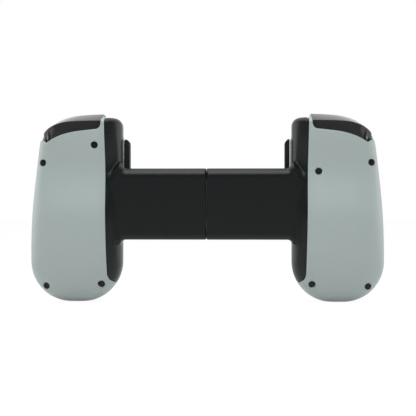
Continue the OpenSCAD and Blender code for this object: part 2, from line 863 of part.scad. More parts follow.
// Spring that pulls one half to the middle, between the pegs of the plate and the bridge cover
module return_spring(side) {
    color([0.7, 0.71, 0.72]) on_side(side)
        translate([0, spring_y, bridge_mid + side * spring_lane])
            wire(helix(spring_x0 + peg_r + 2 * running + spring_wire / 2,
                       spring_x1 - peg_r - 2 * running - spring_wire / 2,
                       (return_d - spring_wire) / 2, return_turns, 0), spring_wire / 2, wire_sides);
}

// Ribbon between the circuit boards, folded twice so that it can follow the slide
ribbon_w = 2.4;
ribbon_t = 0.2;
ribbon_z = bridge_hi - bridge_wall - ribbon_w - gap;
fold_r = 0.7;
fold_x = 20;
ribbon_y = cover_y - 2 * gap;
connector_in = 5;
connector_x = x_in + connector_in;
connector_w = 4;
module flex_cable() {
    color([0.72, 0.45, 0.15]) translate([0, 0, ribbon_z]) linear_extrude(ribbon_w) {
        translate([-connector_x, ribbon_y - ribbon_t]) square([connector_x + fold_x, ribbon_t]);
        translate([-fold_x, ribbon_y - 2 * fold_r]) square([2 * fold_x, ribbon_t]);
        translate([-fold_x, ribbon_y - 4 * fold_r + ribbon_t]) square([connector_x + fold_x, ribbon_t]);
        ribbon_fold(fold_x, ribbon_y - fold_r, 1);
        ribbon_fold(-fold_x, ribbon_y - 3 * fold_r + ribbon_t, -1);
    }
}

// Half turn of the ribbon at x, bulging to one way
module ribbon_fold(x, y, way) {
    translate([x, y]) intersection() {
        difference() {
            circle(fold_r);
            circle(fold_r - ribbon_t);
        }
        translate([way > 0 ? 0 : -fold_r - over, -fold_r - over])
            square([fold_r + over, 2 * (fold_r + over)]);
    }
}

// Circuit board of one side with its connector, its small switches and its main chip
module circuit_board(side) {
    edge = wall + 1.2;
    board_lo = 12;
    board_hi = small_hi + 1.7;
    chip = 7;
    chip_t = 1.1;
    tongue_in = 3;
    tact = 3.2;
    tact_t = 0.8;
    color([0.1, 0.28, 0.2]) on_side(side) union() {
        slab(board_y - board_t, board_y) difference() {
            intersection() {
                polygon(outline_points(edge));
                translate([x_in + edge, 0]) square([grip_w, board_hi]);
                union() {
                    translate([0, board_lo]) square([x_out, board_hi]);
                    if (side < 0) translate([jack_x - socket_w / 2, socket_z0 + tongue_in])
                        square([socket_w, board_lo]);
                }
            }
            for (p = screw_places(side)) translate(p) circle(post_r + 2 * gap);
            if (side > 0) translate([jack_x - jack_wall_r - gap, 0])
                square([2 * (jack_wall_r + gap), jack_top + gap]);
        }
        translate([connector_x, ribbon_y - 4 * fold_r, ribbon_z - gap])
            cube([connector_w, board_y - board_t - ribbon_y + 4 * fold_r, ribbon_w + 2 * gap]);
        translate([low_x - chip / 2, board_y - board_t - chip_t, low_z - chip / 2])
            cube([chip, chip_t, chip]);
        for (z = [small_hi, small_lo]) translate([small_x - tact / 2, board_y, z - tact / 2])
            cube([tact, tact_t, tact]);
    }
}
socket_z0 = 1.6;
jack_top = socket_z0 + jack_depth + 1.4;

// Glossy trigger: a hollow shell that swings on its pin
module trigger(side) {
    color([0.12, 0.13, 0.13]) on_side(side) difference() {
        union() {
            difference() {
                intersection() {
                    trigger_sweep(0, trigger_x0, trigger_x1);
                    top_band() slab(-swell_depth, over) polygon(outline_points(0));
                    slab(-swell_depth, trigger_front) over_rim(trigger_x0, trigger_x1, trigger_lap);
                }
                intersection() {
                    trigger_sweep(trigger_wall, trigger_x0 + trigger_wall, trigger_x1 - trigger_wall);
                    top_band() slab(-swell_depth, 2 * over) polygon(outline_points(trigger_wall));
                }
            }
            for (x = [arm_x0, arm_x1]) trigger_arm(x);
        }
        translate([arm_x0 - over, trig_y, trig_z]) rotate([0, 90, 0])
            cylinder(r = pin_r + running, h = arm_x1 + arm_t - arm_x0 + 2 * over);
    }
}

// Leans a grip's outline back from its top, so that the trigger's top slopes down to a crease
module top_band() {
    translate([0, 0, grip_h]) rotate([band_slope, 0, 0]) translate([0, 0, -grip_h]) children();
}

// Arm from the trigger's face to its pin
module trigger_arm(x) {
    reach = min(trigger_reach(x), trigger_reach(x + arm_t)) - trigger_wall / 2;
    tip_r = 0.6;
    translate([x, trig_y, trig_z]) rotate([90, 0, 90]) linear_extrude(arm_t) hull() {
        circle(hub_r);
        for (a = [150, 176]) translate((reach - tip_r) * [cos(a), sin(a)]) circle(tip_r);
    }
}

// Pin that the trigger swings on, held by the lugs of the front shell
module trigger_pin(side) {
    color([0.7, 0.71, 0.72]) on_side(side) translate([arm_x0 - gap, trig_y, trig_z]) rotate([0, 90, 0])
        cylinder(r = pin_r, h = arm_x1 + arm_t - arm_x0 + 2 * gap);
}

// Torsion spring round the trigger pin, one leg on the shell and one on the trigger
module trigger_spring(side) {
    coil_r = 1.6;
    spring_wire_r = 0.22;
    turns = 4;
    coil_pitch = 1.2;
    leg = 4;
    x0 = lug_x0 + lug_t + 2 * gap;
    x1 = x0 + turns * coil_pitch;
    color([0.7, 0.71, 0.72]) on_side(side) translate([0, trig_y, trig_z])
        wire(concat([[x0, coil_r, -leg]], helix(x0, x1, coil_r, turns, 0), [[x1, coil_r, leg]]),
             spring_wire_r, wire_sides);
}

// Shoulder button in front of the trigger, hinged at its inner end
module bumper(side) {
    color([0.16, 0.17, 0.17]) on_side(side) difference() {
        intersection() {
            slab(bumper_y0, bumper_y1) polygon(outline_points(0));
            translate([trigger_x0, 0, bumper_z]) cube([x_out - trigger_x0, front_depth, grip_h]);
        }
        translate([bumper_x, 0, bumper_pivot_z]) rod_y(bumper_pin_r + running, 0, front_depth);
    }
}

// Pin of the bumper, fixed in the front shell
module bumper_pin(side) {
    color([0.7, 0.71, 0.72]) on_side(side) translate([bumper_x, 0, bumper_pivot_z])
        rod_y(bumper_pin_r, bumper_y0 + gap, front_depth - wall / 2);
}

// Switch that the bumper presses
module bumper_switch(side) {
    plunger = 0.3;
    plunger_r = 0.9;
    mid_x = (lug_x0 + lug_x1 + lug_t) / 2;
    color([0.2, 0.2, 0.21]) on_side(side) union() {
        translate([mid_x - switch_w / 2, switch_y0, switch_z0]) cube([switch_w, switch_d, switch_h]);
        translate([mid_x, switch_y0 + switch_d / 2, switch_z0 + switch_h])
            cylinder(r = plunger_r, h = plunger);
    }
}

// Thumbstick gimbal sizes, outwards from the lever
lever_r = 1.2;
lever_pin_r = 0.45;
yoke_in = 2.2;
yoke_out = 3;
yoke_t = 1.4;
yoke_pin_r = 0.5;
carriage_in = 3.6;
carriage_out = 4.4;
module_in = carriage_out + gap;
module_out = module_in + 0.8;
carriage_lo = pivot_y - 1.4;
carriage_hi = pivot_y + 1.5;
lever_top = front_depth + 4;
lever_tail = 0.9;

// Puts a piece at a thumbstick's pivot
module at_stick(side, p) {
    on_side(side) translate([p[0], 0, p[1]]) children();
}
function stick_place(side) = side > 0 ? [stick_x, stick_hi] : [low_x, low_z];

// Square tube along Y
module square_tube(half_in, half_out, y0, y1) {
    slab(y0, y1) difference() {
        square(2 * half_out, center = true);
        square(2 * half_in, center = true);
    }
}

// Frame of a thumbstick, soldered to the board
module stick_module(side) {
    base = 6;
    base_t = 0.5;
    color([0.25, 0.26, 0.27]) at_stick(side, stick_place(side)) union() {
        square_tube(module_in, base, board_y, board_y + base_t);
        square_tube(module_in, module_out, board_y, carriage_hi);
    }
}

// Carriage that sinks when the thumbstick is pressed
module stick_carriage(side) {
    color([0.4, 0.42, 0.43]) at_stick(side, stick_place(side)) difference() {
        square_tube(carriage_in, carriage_out, carriage_lo, carriage_hi);
        translate([-module_out, pivot_y, 0]) rotate([0, 90, 0])
            cylinder(r = yoke_pin_r + running, h = 2 * module_out);
    }
}

// Ring of the gimbal: turns about X in the carriage
module stick_yoke(side) {
    color([0.6, 0.61, 0.62]) at_stick(side, stick_place(side)) difference() {
        union() {
            slab(pivot_y - yoke_t / 2, pivot_y + yoke_t / 2) circle(yoke_out);
            translate([-carriage_out, pivot_y, 0]) rotate([0, 90, 0])
                cylinder(r = yoke_pin_r, h = 2 * carriage_out);
        }
        slab(pivot_y - yoke_t, pivot_y + yoke_t) circle(yoke_in);
        translate([0, pivot_y, -yoke_out - over])
            cylinder(r = lever_pin_r + running, h = 2 * (yoke_out + over));
    }
}

// Lever of the thumbstick: turns about Z in the ring and carries the cap
module stick_lever(side) {
    color([0.8, 0.8, 0.78]) at_stick(side, stick_place(side)) union() {
        rod_y(lever_r, pivot_y - lever_tail, lever_top);
        translate([0, pivot_y, -yoke_out]) cylinder(r = lever_pin_r, h = 2 * yoke_out);
    }
}

// Cap of a thumbstick: dished top, neck and the round skirt that closes the hole
module stick_cap(side) {
    cap_r = stick_d / 2;
    cap_t = 2.8;
    top = front_depth + stick_rise - pivot_y;
    neck_r = 3;
    dish_r = 14;
    dish = 0.9;
    hole_angle = atan(stick_hole_r / (front_in - pivot_y));
    skirt_lap = 8;
    skirt_lo = skirt_r * cos(hole_angle + stick_tilt + skirt_lap);
    color([0.09, 0.09, 0.1]) at_stick(side, stick_place(side)) translate([0, pivot_y, 0]) rotate([-90, 0, 0])
        rotate_extrude() difference() {
            union() {
                intersection() {
                    difference() {
                        circle(skirt_r);
                        circle(skirt_r - skirt_t);
                    }
                    translate([0, skirt_lo]) square(skirt_r);
                }
                translate([0, skirt_r - skirt_t - 0.4]) square([neck_r, top - cap_t - skirt_r + skirt_t + 1]);
                translate([0, top - cap_t]) square([cap_r - 0.5, cap_t]);
                translate([0, top - cap_t + 0.5]) square([cap_r, cap_t - 1]);
                translate([cap_r - 0.5, top - 0.5]) circle(0.5);
                translate([cap_r - 0.5, top - cap_t + 0.5]) circle(0.5);
            }
            translate([0, top - dish + dish_r]) circle(dish_r);
            square([lever_r + running, lever_top - pivot_y]);
            translate([-2 * skirt_r, -skirt_r]) square([2 * skirt_r, 4 * skirt_r]);
        }
}

// Button that slides in the front: stem, flange under the shell and softened top
flange_drop = 0.95;
flange_y1 = front_in - flange_drop;
flange_y0 = flange_y1 - 1.3;
flange_w = 0.9;
module press_button(side, p, r, rise, stem_r, stem_y) {
    soft = 0.4;
    top = front_depth + rise;
    on_side(side) translate([p[0], 0, p[1]]) rotate([-90, 0, 0]) rotate_extrude() polygon([
        [0, stem_y], [stem_r, stem_y], [stem_r, flange_y0], [r + flange_w, flange_y0],
        [r + flange_w, flange_y1], [r, flange_y1], [r, top - soft], [r - soft, top], [0, top]]);
}

// Face button at an angle round the middle of the four
sheet_t = 0.8;
dome_pressed = 2.3;
dome_y = board_y + sheet_t + dome_pressed + button_travel;
module face_button(turn) {
    color([0.2, 0.21, 0.22])
        press_button(RIGHT, cluster_place(turn), button_r, button_rise, button_r - 1.6, dome_y + gap);
}

// Small button near the inner side of a grip
small_stem_y = board_y + 1.5;
module small_button(side, z) {
    color([0.2, 0.21, 0.22]) press_button(side, [small_x, z], small_r, small_rise, 1.2, small_stem_y);
}

// Silicone sheet under the face buttons, one dome for each
module button_membrane() {
    dome_r0 = 3.2;
    dome_r1 = 2.2;
    color([0.55, 0.56, 0.57]) on_side(RIGHT) union() {
        slab(board_y, board_y + sheet_t) hull()
            for (turn = [0 : 90 : 270]) translate(cluster_place(turn)) circle(dome_r0 + 1);
        for (turn = [0 : 90 : 270]) let (p = cluster_place(turn))
            translate([p[0], board_y + sheet_t / 2, p[1]]) rotate([-90, 0, 0])
                cylinder(r1 = dome_r0, r2 = dome_r1, h = dome_y - board_y - sheet_t / 2);
    }
}

// Direction pad: rocks on a ball, with a flange under the shell
ball_r = 2;
ball_y = board_y + 4.2;
rock_flange_r = 10;
rock_flange_y0 = ball_y + 1.5;
rock_flange_t = 1.3;
seat_wall = 0.4;
seat_low = 0.6;
module direction_pad() {
    boss_r = 3;
    boss_y = ball_y + 0.5;
    dish_r = 13.8;
    dish = 0.8;
    color([0.13, 0.14, 0.15]) translate([low_x, 0, low_z]) difference() {
        union() {
            slab(rock_flange_y0, front_depth + cross_rise) cross_shape(0);
            rod_y(rock_flange_r, rock_flange_y0, rock_flange_y0 + rock_flange_t);
            rod_y(boss_r, boss_y, rock_flange_y0 + rock_flange_t / 2);
        }
        translate([0, ball_y, 0]) sphere(ball_r + running);
        translate([0, front_depth + cross_rise + dish_r - dish, 0]) sphere(dish_r);
    }
}

// Ball between the direction pad and its seat
module direction_pivot() {
    color([0.75, 0.76, 0.77]) translate([low_x, ball_y, low_z]) sphere(ball_r);
}

// Seat of the ball on the board
module direction_seat() {
    color([0.3, 0.31, 0.32]) translate([low_x, 0, low_z]) difference() {
        rod_y(ball_r + seat_wall, board_y, ball_y - seat_low);
        translate([0, ball_y, 0]) sphere(ball_r + running);
    }
}

// Silicone sheet under the direction pad, one dome for each arm
module direction_membrane() {
    sheet_r = 10.5;
    dome_reach = 6.8;
    dome_r0 = 2;
    dome_r1 = 1.4;
    dome_h = rock_flange_y0 - gap - board_y - sheet_t / 2;
    color([0.55, 0.56, 0.57]) translate([low_x, 0, low_z]) union() {
        slab(board_y, board_y + sheet_t) difference() {
            circle(sheet_r);
            circle(ball_r + seat_wall + gap);
        }
        for (turn = [0 : 90 : 270]) rotate([0, turn, 0]) translate([dome_reach, board_y + sheet_t / 2, 0])
            rotate([-90, 0, 0]) cylinder(r1 = dome_r0, r2 = dome_r1, h = dome_h);
    }
}

// Plug that goes into the phone, on the inner side of the right grip
module phone_plug() {
    body = 6;
    body_t = 2;
    contact = 1.1;
    shell_t = 0.6;
    body_x = x_in + wall + gap;
    color([0.62, 0.63, 0.64]) on_side(RIGHT) translate([0, plug_y, bridge_mid]) union() {
        difference() {
            translate([x_pad - plug_len, 0, 0]) rotate([90, 0, 90])
                linear_extrude(plug_len + pad_t + wall) rotate(90) stadium(plug_w, plug_h);
            translate([x_pad - plug_len - over, 0, 0]) rotate([90, 0, 90])
                linear_extrude(plug_len) rotate(90) stadium(plug_w - 2 * shell_t, contact);
        }
        translate([x_pad + gap, 0, 0]) rotate([90, 0, 90])
            linear_extrude(body_x - x_pad - gap) collar_shape(0);
        translate([body_x, board_y - plug_y, -body]) cube([body, plug_y - board_y + body_t, 2 * body]);
    }
}

// Charging socket at the foot of the right grip
module charging_socket() {
    shell_t = 0.4;
    deep = 6.5;
    length = 7.5;
    tongue_w = 6.6;
    tongue_t = 0.7;
    foot = 2;
    color([0.62, 0.63, 0.64]) on_side(RIGHT) translate([jack_x, jack_y, socket_z0]) union() {
        difference() {
            linear_extrude(length) stadium(socket_w, socket_h);
            translate([0, 0, -over]) linear_extrude(deep + over)
                stadium(socket_w - 2 * shell_t, socket_h - 2 * shell_t);
        }
        translate([-tongue_w / 2, -tongue_t / 2, over]) cube([tongue_w, tongue_t, deep]);
        for (s = [-1, 1]) translate([s * tongue_w / 3 - foot / 2, board_y - jack_y, length - foot])
            cube([foot, jack_y - board_y, foot]);
    }
}

// Headphone socket at the foot of the left grip
module headphone_socket() {
    color([0.12, 0.12, 0.12]) translate([jack_x, jack_y, socket_z0]) difference() {
        cylinder(r = jack_wall_r, h = jack_top - socket_z0);
        translate([0, 0, -over]) cylinder(r = jack_r, h = jack_depth + over);
    }
}

slide_plate();
pinion();
flex_cable();
rear_cover(RIGHT);  // right_rear_cover
bridge_housing(RIGHT);  // right_bridge_housing
bridge_cover(RIGHT);  // right_bridge_cover
phone_pad(RIGHT);  // right_phone_pad
trigger(RIGHT);  // right_trigger
trigger_pin(RIGHT);  // right_trigger_pin
trigger_spring(RIGHT);  // right_trigger_spring
bumper(RIGHT);  // right_bumper
bumper_pin(RIGHT);  // right_bumper_pin
bumper_switch(RIGHT);  // right_bumper_switch
circuit_board(RIGHT);  // right_circuit_board
stick_module(RIGHT);  // right_stick_module
stick_carriage(RIGHT);  // right_stick_carriage
stick_yoke(RIGHT);  // right_stick_yoke
stick_lever(RIGHT);  // right_stick_lever
stick_cap(RIGHT);  // right_stick_cap
rack(RIGHT);  // right_rack
return_spring(RIGHT);  // right_return_spring
cover_screws(RIGHT);  // right_cover_screws
right_front_shell();
rear_cover(LEFT);  // left_rear_cover
bridge_housing(LEFT);  // left_bridge_housing
bridge_cover(LEFT);  // left_bridge_cover
phone_pad(LEFT);  // left_phone_pad
trigger(LEFT);  // left_trigger
trigger_pin(LEFT);  // left_trigger_pin
trigger_spring(LEFT);  // left_trigger_spring
bumper(LEFT);  // left_bumper
bumper_pin(LEFT);  // left_bumper_pin
bumper_switch(LEFT);  // left_bumper_switch
circuit_board(LEFT);  // left_circuit_board
stick_module(LEFT);  // left_stick_module
stick_carriage(LEFT);  // left_stick_carriage
stick_yoke(LEFT);  // left_stick_yoke
stick_lever(LEFT);  // left_stick_lever
stick_cap(LEFT);  // left_stick_cap
rack(LEFT);  // left_rack
return_spring(LEFT);  // left_return_spring
cover_screws(LEFT);  // left_cover_screws
left_front_shell();
face_button(0);  // outer_face_button
face_button(90);  // upper_face_button
face_button(180);  // inner_face_button
face_button(270);  // lower_face_button
small_button(RIGHT, small_hi);  // menu_button
small_button(RIGHT, small_lo);  // home_button
small_button(LEFT, small_hi);  // options_button
small_button(LEFT, small_lo);  // capture_button
button_membrane();
phone_plug();
charging_socket();
direction_pad();
direction_pivot();
direction_seat();
direction_membrane();
headphone_socket();
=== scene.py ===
"""Looks of a telescoping phone controller: smooth grips, moulded plastics, rubber and metal round its solids.

Lengths in the classes are millimetres in the frame's own axes: X along the bridge, Z up, the back facing -Y.
Everything is shaped on the +X grip, the left one as held, and mirrored for the right one.
"""
import logging
import math
from dataclasses import dataclass, field
from enum import Enum
from typing import Any, Iterable, Optional, Sequence, Union

import bmesh
import bpy
import numpy as np
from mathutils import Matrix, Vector
from mathutils.geometry import delaunay_2d_cdt


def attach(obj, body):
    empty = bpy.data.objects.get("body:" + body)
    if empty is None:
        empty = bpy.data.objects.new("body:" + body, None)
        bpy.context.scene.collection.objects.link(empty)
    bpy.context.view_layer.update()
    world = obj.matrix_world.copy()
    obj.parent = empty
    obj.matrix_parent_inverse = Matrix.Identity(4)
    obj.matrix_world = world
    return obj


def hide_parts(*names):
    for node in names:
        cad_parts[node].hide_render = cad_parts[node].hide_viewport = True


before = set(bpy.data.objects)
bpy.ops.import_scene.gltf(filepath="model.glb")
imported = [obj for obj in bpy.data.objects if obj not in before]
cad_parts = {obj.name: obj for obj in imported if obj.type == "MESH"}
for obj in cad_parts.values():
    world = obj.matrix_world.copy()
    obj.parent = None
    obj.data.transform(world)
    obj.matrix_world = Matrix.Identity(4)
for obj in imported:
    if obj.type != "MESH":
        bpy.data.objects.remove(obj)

log = logging.getLogger("controller")
MM = 0.001
# Limits under which a length is none, two chart places are one, and a corner is straight.
NO_LENGTH = 1e-9
SAME_PLACE = 1e-5
STRAIGHT = 1e-3
# How far outlines stop short of the chart's corner at the flat top, along the top and below it.
CAP_GAP = 1.2
TOP_GAP = 1.0
# Corners of a square, in order.
SQUARE = ((-1, -1), (1, -1), (1, 1), (-1, 1))
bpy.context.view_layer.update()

Color = tuple[float, float, float]
Flat = tuple[float, float]
Value = Union["Socket", float, int, tuple]


class Side(Enum):
    """The two grips, as held with the screen towards the user."""

    LEFT = 1
    RIGHT = -1

    def node(self, piece: str) -> str:
        """Name of this side's node of a piece."""
        return f"{self.name.lower()}_{piece}"

    @property
    def half(self) -> str:
        """Name of the body that slides with this grip."""
        return self.node("half")


class Socket:
    """An output of a shader node, with arithmetic that adds Math nodes."""

    def __init__(self, graph: "Graph", link: bpy.types.NodeSocket) -> None:
        """Wraps a node's output.

        Args:
            graph: the graph that the node is in.
            link: the node's output.
        """
        self.graph = graph
        self.link = link

    def _math(self, operation: str, first: Value, second: Value) -> "Socket":
        """Adds one Math node and returns its output."""
        return self.graph.node("ShaderNodeMath", {"operation": operation}, {0: first, 1: second})

    def __add__(self, other: Value) -> "Socket":
        """Sum with a number or an output."""
        return self._math("ADD", self, other)

    __radd__ = __add__

    def __sub__(self, other: Value) -> "Socket":
        """Difference, this one first."""
        return self._math("SUBTRACT", self, other)

    def __rsub__(self, other: Value) -> "Socket":
        """Difference, the other one first."""
        return self._math("SUBTRACT", other, self)

    def __mul__(self, other: Value) -> "Socket":
        """Product with a number or an output."""
        return self._math("MULTIPLY", self, other)

    __rmul__ = __mul__

    def __gt__(self, other: Value) -> "Socket":
        """One where this output is the greater, else zero."""
        return self._math("GREATER_THAN", self, other)

    def clamped(self) -> "Socket":
        """This output held between 0 and 1."""
        return self.graph.node("ShaderNodeClamp", {}, {"Value": self})


class Graph:
    """The nodes of one material or of the world."""

    def __init__(self, tree: bpy.types.NodeTree) -> None:
        """Empties a node tree and takes it over.

        Args:
            tree: the tree of a material or the world.
        """
        self.tree = tree
        tree.nodes.clear()

    def node(self, kind: str, settings: dict[str, Any], sockets: dict[Any, Value], output: Any = 0) -> Socket:
        """Adds a node.

        Args:
            kind: the node's type.
            settings: its own settings, which are set first.
            sockets: values or outputs for its inputs, by name or number.
            output: name or number of the output that is returned.

        Returns:
            The chosen output.
        """
        made = self.tree.nodes.new(kind)
        for name, value in settings.items():
            setattr(made, name, value)
        for name, value in sockets.items():
            if isinstance(value, Socket):
                self.tree.links.new(value.link, made.inputs[name])
            else:
                made.inputs[name].default_value = value
        return Socket(self, made.outputs[output])

    def end(self, shader: Socket, kind: str) -> None:
        """Ends the graph with the output node of a material or the world."""
        output = self.tree.nodes.new(f"ShaderNodeOutput{kind}")
        self.tree.links.new(shader.link, output.inputs["Surface"])

    def place(self) -> Socket:
        """Place on the piece, in metres."""
        return self.node("ShaderNodeTexCoord", {}, {}, "Object")

    def noise(self, grain_mm: float, detail: float = 2.0, stretch: Optional[Color] = None) -> Socket:
        """Smooth noise.

        Args:
            grain_mm: size of its lumps.
            detail: number of finer octaves.
            stretch: factors along X, Y and Z, where the lumps aren't round.

        Returns:
            Values round 0.5.
        """
        place = self.place()
        if stretch:
            place = self.node("ShaderNodeVectorMath", {"operation": "MULTIPLY"}, {0: place, 1: stretch})
        sockets = {"Vector": place, "Scale": 1 / (grain_mm * MM), "Detail": detail}
        return self.node("ShaderNodeTexNoise", {}, sockets)

    def blend(self, factor: Value, first: Value, second: Value) -> Socket:
        """Mixes two colours.

        Args:
            factor: share of the second one.
            first: colour at 0, as a tuple or an output.
            second: colour at 1.

        Returns:
            The mixed colour.
        """
        first, second = ((*c, 1.0) if isinstance(c, tuple) and len(c) == 3 else c for c in (first, second))
        return self.node("ShaderNodeMix", {"data_type": "RGBA"}, {0: factor, 6: first, 7: second}, 2)

    def bump(self, height: Value, depth_mm: float, strength: float) -> Socket:
        """Normal of a rough surface.

        Args:
            height: heights from 0 to 1.
            depth_mm: depth of the roughness.
            strength: share of it that shows.

        Returns:
            The normal.
        """
        sockets = {"Height": height, "Distance": depth_mm * MM, "Strength": strength}
        return self.node("ShaderNodeBump", {}, sockets)

    def rays(self, *kinds: str) -> Socket:
        """One for rays of any of these kinds, else zero.

        Args:
            kinds: outputs of the Light Path node.

        Returns:
            The mask.
        """
        first, *rest = (self.node("ShaderNodeLightPath", {}, {}, kind) for kind in kinds)
        return sum(rest, first).clamped()

    def painted_highlight_mask(self, threshold: float, spread: float) -> Socket:
        """Where the surface has an outer edge, from 0 to 1, for a highlight painted along it.

        Args:
            threshold: pointedness at which an edge starts.
            spread: how fast it comes up.

        Returns:
            The mask.
        """
        pointed = self.node("ShaderNodeNewGeometry", {}, {}, "Pointiness")
        return ((pointed - threshold) * spread).clamped()


def shade(tint: Color, factor: float) -> Color:
    """A colour made lighter or darker by a factor."""
    return tuple(min(1.0, channel * factor) for channel in tint)


@dataclass(frozen=True)
class Finish:
    """A finish: its colour, gloss and grain, a highlight painted along its edges, and the record's slot that
    it belongs to.
    """

    name: str
    slot: str
    tint: Color
    roughness: float
    metallic: float = 0.0
    specular: float = 0.5
    grain_mm: float = 0.35
    grain_depth_mm: float = 0.03
    grain_strength: float = 0.25
    mottle: float = 0.04
    mottle_mm: float = 9.0
    gloss_spread: float = 0.08
    # Painted highlight along outer edges: its share, the pointedness where it starts, how fast it comes up,
    # and how much lighter it makes the colour.
    painted_edge_highlight: float = 0.0
    edge_from: float = 0.52
    edge_spread: float = 9.0
    edge_highlight_factor: float = 1.35
    coat: float = 0.0
    coat_roughness: float = 0.05

    def material(self) -> bpy.types.Material:
        """The material, made once and then shared.

        Returns:
            The material with this finish's name.
        """
        found = bpy.data.materials.get(self.name)
        if found:
            return found
        made = bpy.data.materials.new(self.name)
        made.use_nodes = True
        graph = Graph(made.node_tree)
        shader = graph.node("ShaderNodeBsdfPrincipled", {}, self.constants() | self.varying(graph))
        graph.end(shader, "Material")
        return made

    def constants(self) -> dict[str, Value]:
        """Sockets that are the same all over the surface.

        Returns:
            Numbers for the shader's inputs.
        """
        return {
            "Metallic": self.metallic,
            "Specular IOR Level": self.specular,
            "Coat Weight": self.coat,
            "Coat Roughness": self.coat_roughness,
        }

    def varying(self, graph: Graph) -> dict[str, Value]:
        """Sockets that change over the surface.

        Args:
            graph: the material's graph.

        Returns:
            Outputs for the shader's inputs.
        """
        cloud = graph.noise(self.mottle_mm)
        color = graph.blend(cloud, shade(self.tint, 1 - self.mottle), shade(self.tint, 1 + self.mottle))
        # Painted highlight: outer edges are made lighter in colour, as rims catching the light.
        if self.painted_edge_highlight:
            painted_highlight_mask = graph.painted_highlight_mask(self.edge_from, self.edge_spread) * self.painted_edge_highlight
            color = graph.blend(painted_highlight_mask, color, shade(self.tint, self.edge_highlight_factor))
        grain = self.grain(graph)
        return {
            "Base Color": color,
            "Roughness": grain * self.gloss_spread + (self.roughness - self.gloss_spread / 2),
            "Normal": graph.bump(grain, self.grain_depth_mm, self.grain_strength),
        }

    def grain(self, graph: Graph) -> Socket:
        """Height of the fine grain."""
        return graph.noise(self.grain_mm)


@dataclass(frozen=True)
class DustyPlastic(Finish):
    """Soft-touch plastic with a few pale specks of dust."""

    speck_mm: float = 1.6
    speck_sharp: float = 9
    speck_rare: float = 0.66
    speck_color: Color = (0.06, 0.07, 0.07)

    def varying(self, graph: Graph) -> dict[str, Value]:
        """Sockets that change over the surface, with the specks laid over the colour.

        Args:
            graph: the material's graph.

        Returns:
            Outputs for the shader's inputs.
        """
        sockets = super().varying(graph)
        grid = {"Vector": graph.place(), "Scale": 1 / (self.speck_mm * MM)}
        cells = graph.node("ShaderNodeTexVoronoi", {}, grid, "Distance")
        rare = graph.noise(self.speck_mm * 2, 0.0) > self.speck_rare
        specks = (1 - cells * self.speck_sharp).clamped() * rare
        sockets["Base Color"] = graph.blend(specks, sockets["Base Color"], self.speck_color)
        return sockets


@dataclass(frozen=True)
class BrushedMetal(Finish):
    """Metal with fine lines along X."""

    line_ratio: float = 0.03

    def grain(self, graph: Graph) -> Socket:
        """Height of the brushed lines."""
        return graph.noise(self.grain_mm, 3.0, (self.line_ratio, 1.0, 1.0))


# The pale plastics and the controls get a highlight painted along their edges.
COVER = Finish("pale_cover", "cover", (0.383, 0.447, 0.437), 0.42, specular=0.4, painted_edge_highlight=0.5,
               mottle=0.015)
FRONT = Finish("pale_front", "cover", (0.388, 0.452, 0.442), 0.40, specular=0.4, painted_edge_highlight=0.4,
               mottle=0.015)
HOUSING = DustyPlastic("dark_housing", "housing", (0.0042, 0.0068, 0.0066), 0.38, specular=0.30,
                       mottle=0.06)
TRIM = Finish("gloss_trim", "gloss_trim", (0.0040, 0.0050, 0.0050), 0.13, specular=0.22, grain_strength=0.04,
              gloss_spread=0.05, coat=0.2)
CONTROL = Finish("satin_control", "button_plastic", (0.018, 0.020, 0.021), 0.30, painted_edge_highlight=0.3)
RUBBER = Finish("matt_rubber", "rubber", (0.008, 0.009, 0.009), 0.74, specular=0.3, grain_mm=0.25,
                grain_strength=0.5)
INNER = Finish("inner_plastic", "inner_plastic", (0.42, 0.42, 0.39), 0.5)
SILICONE = Finish("silicone", "silicone", (0.36, 0.38, 0.39), 0.6, grain_strength=0.15)
STEEL = BrushedMetal("brushed_steel", "steel", (0.56, 0.57, 0.58), 0.30, metallic=1.0, gloss_spread=0.2)
BLACK_STEEL = BrushedMetal("blackened_steel", "screw_steel", (0.03, 0.031, 0.033), 0.35, metallic=0.8)
BOARD = Finish("lacquered_board", "board", (0.012, 0.10, 0.05), 0.28, coat=0.4)
RIBBON = Finish("ribbon_film", "ribbon", (0.50, 0.21, 0.04), 0.3, mottle=0.1)


def mix(first: float, second: float, share: float) -> float:
    """Straight mix of two values."""
    return first + (second - first) * share


def ease(share: float) -> float:
    """Smooth step from 0 to 1."""
    share = min(1.0, max(0.0, share))
    return share * share * (3 - 2 * share)


def crowded(count: int) -> list[float]:
    """Shares from 0 to 1 that lie closer together towards both ends."""
    return [(1 - math.cos(math.pi * k / count)) / 2 for k in range(count + 1)]


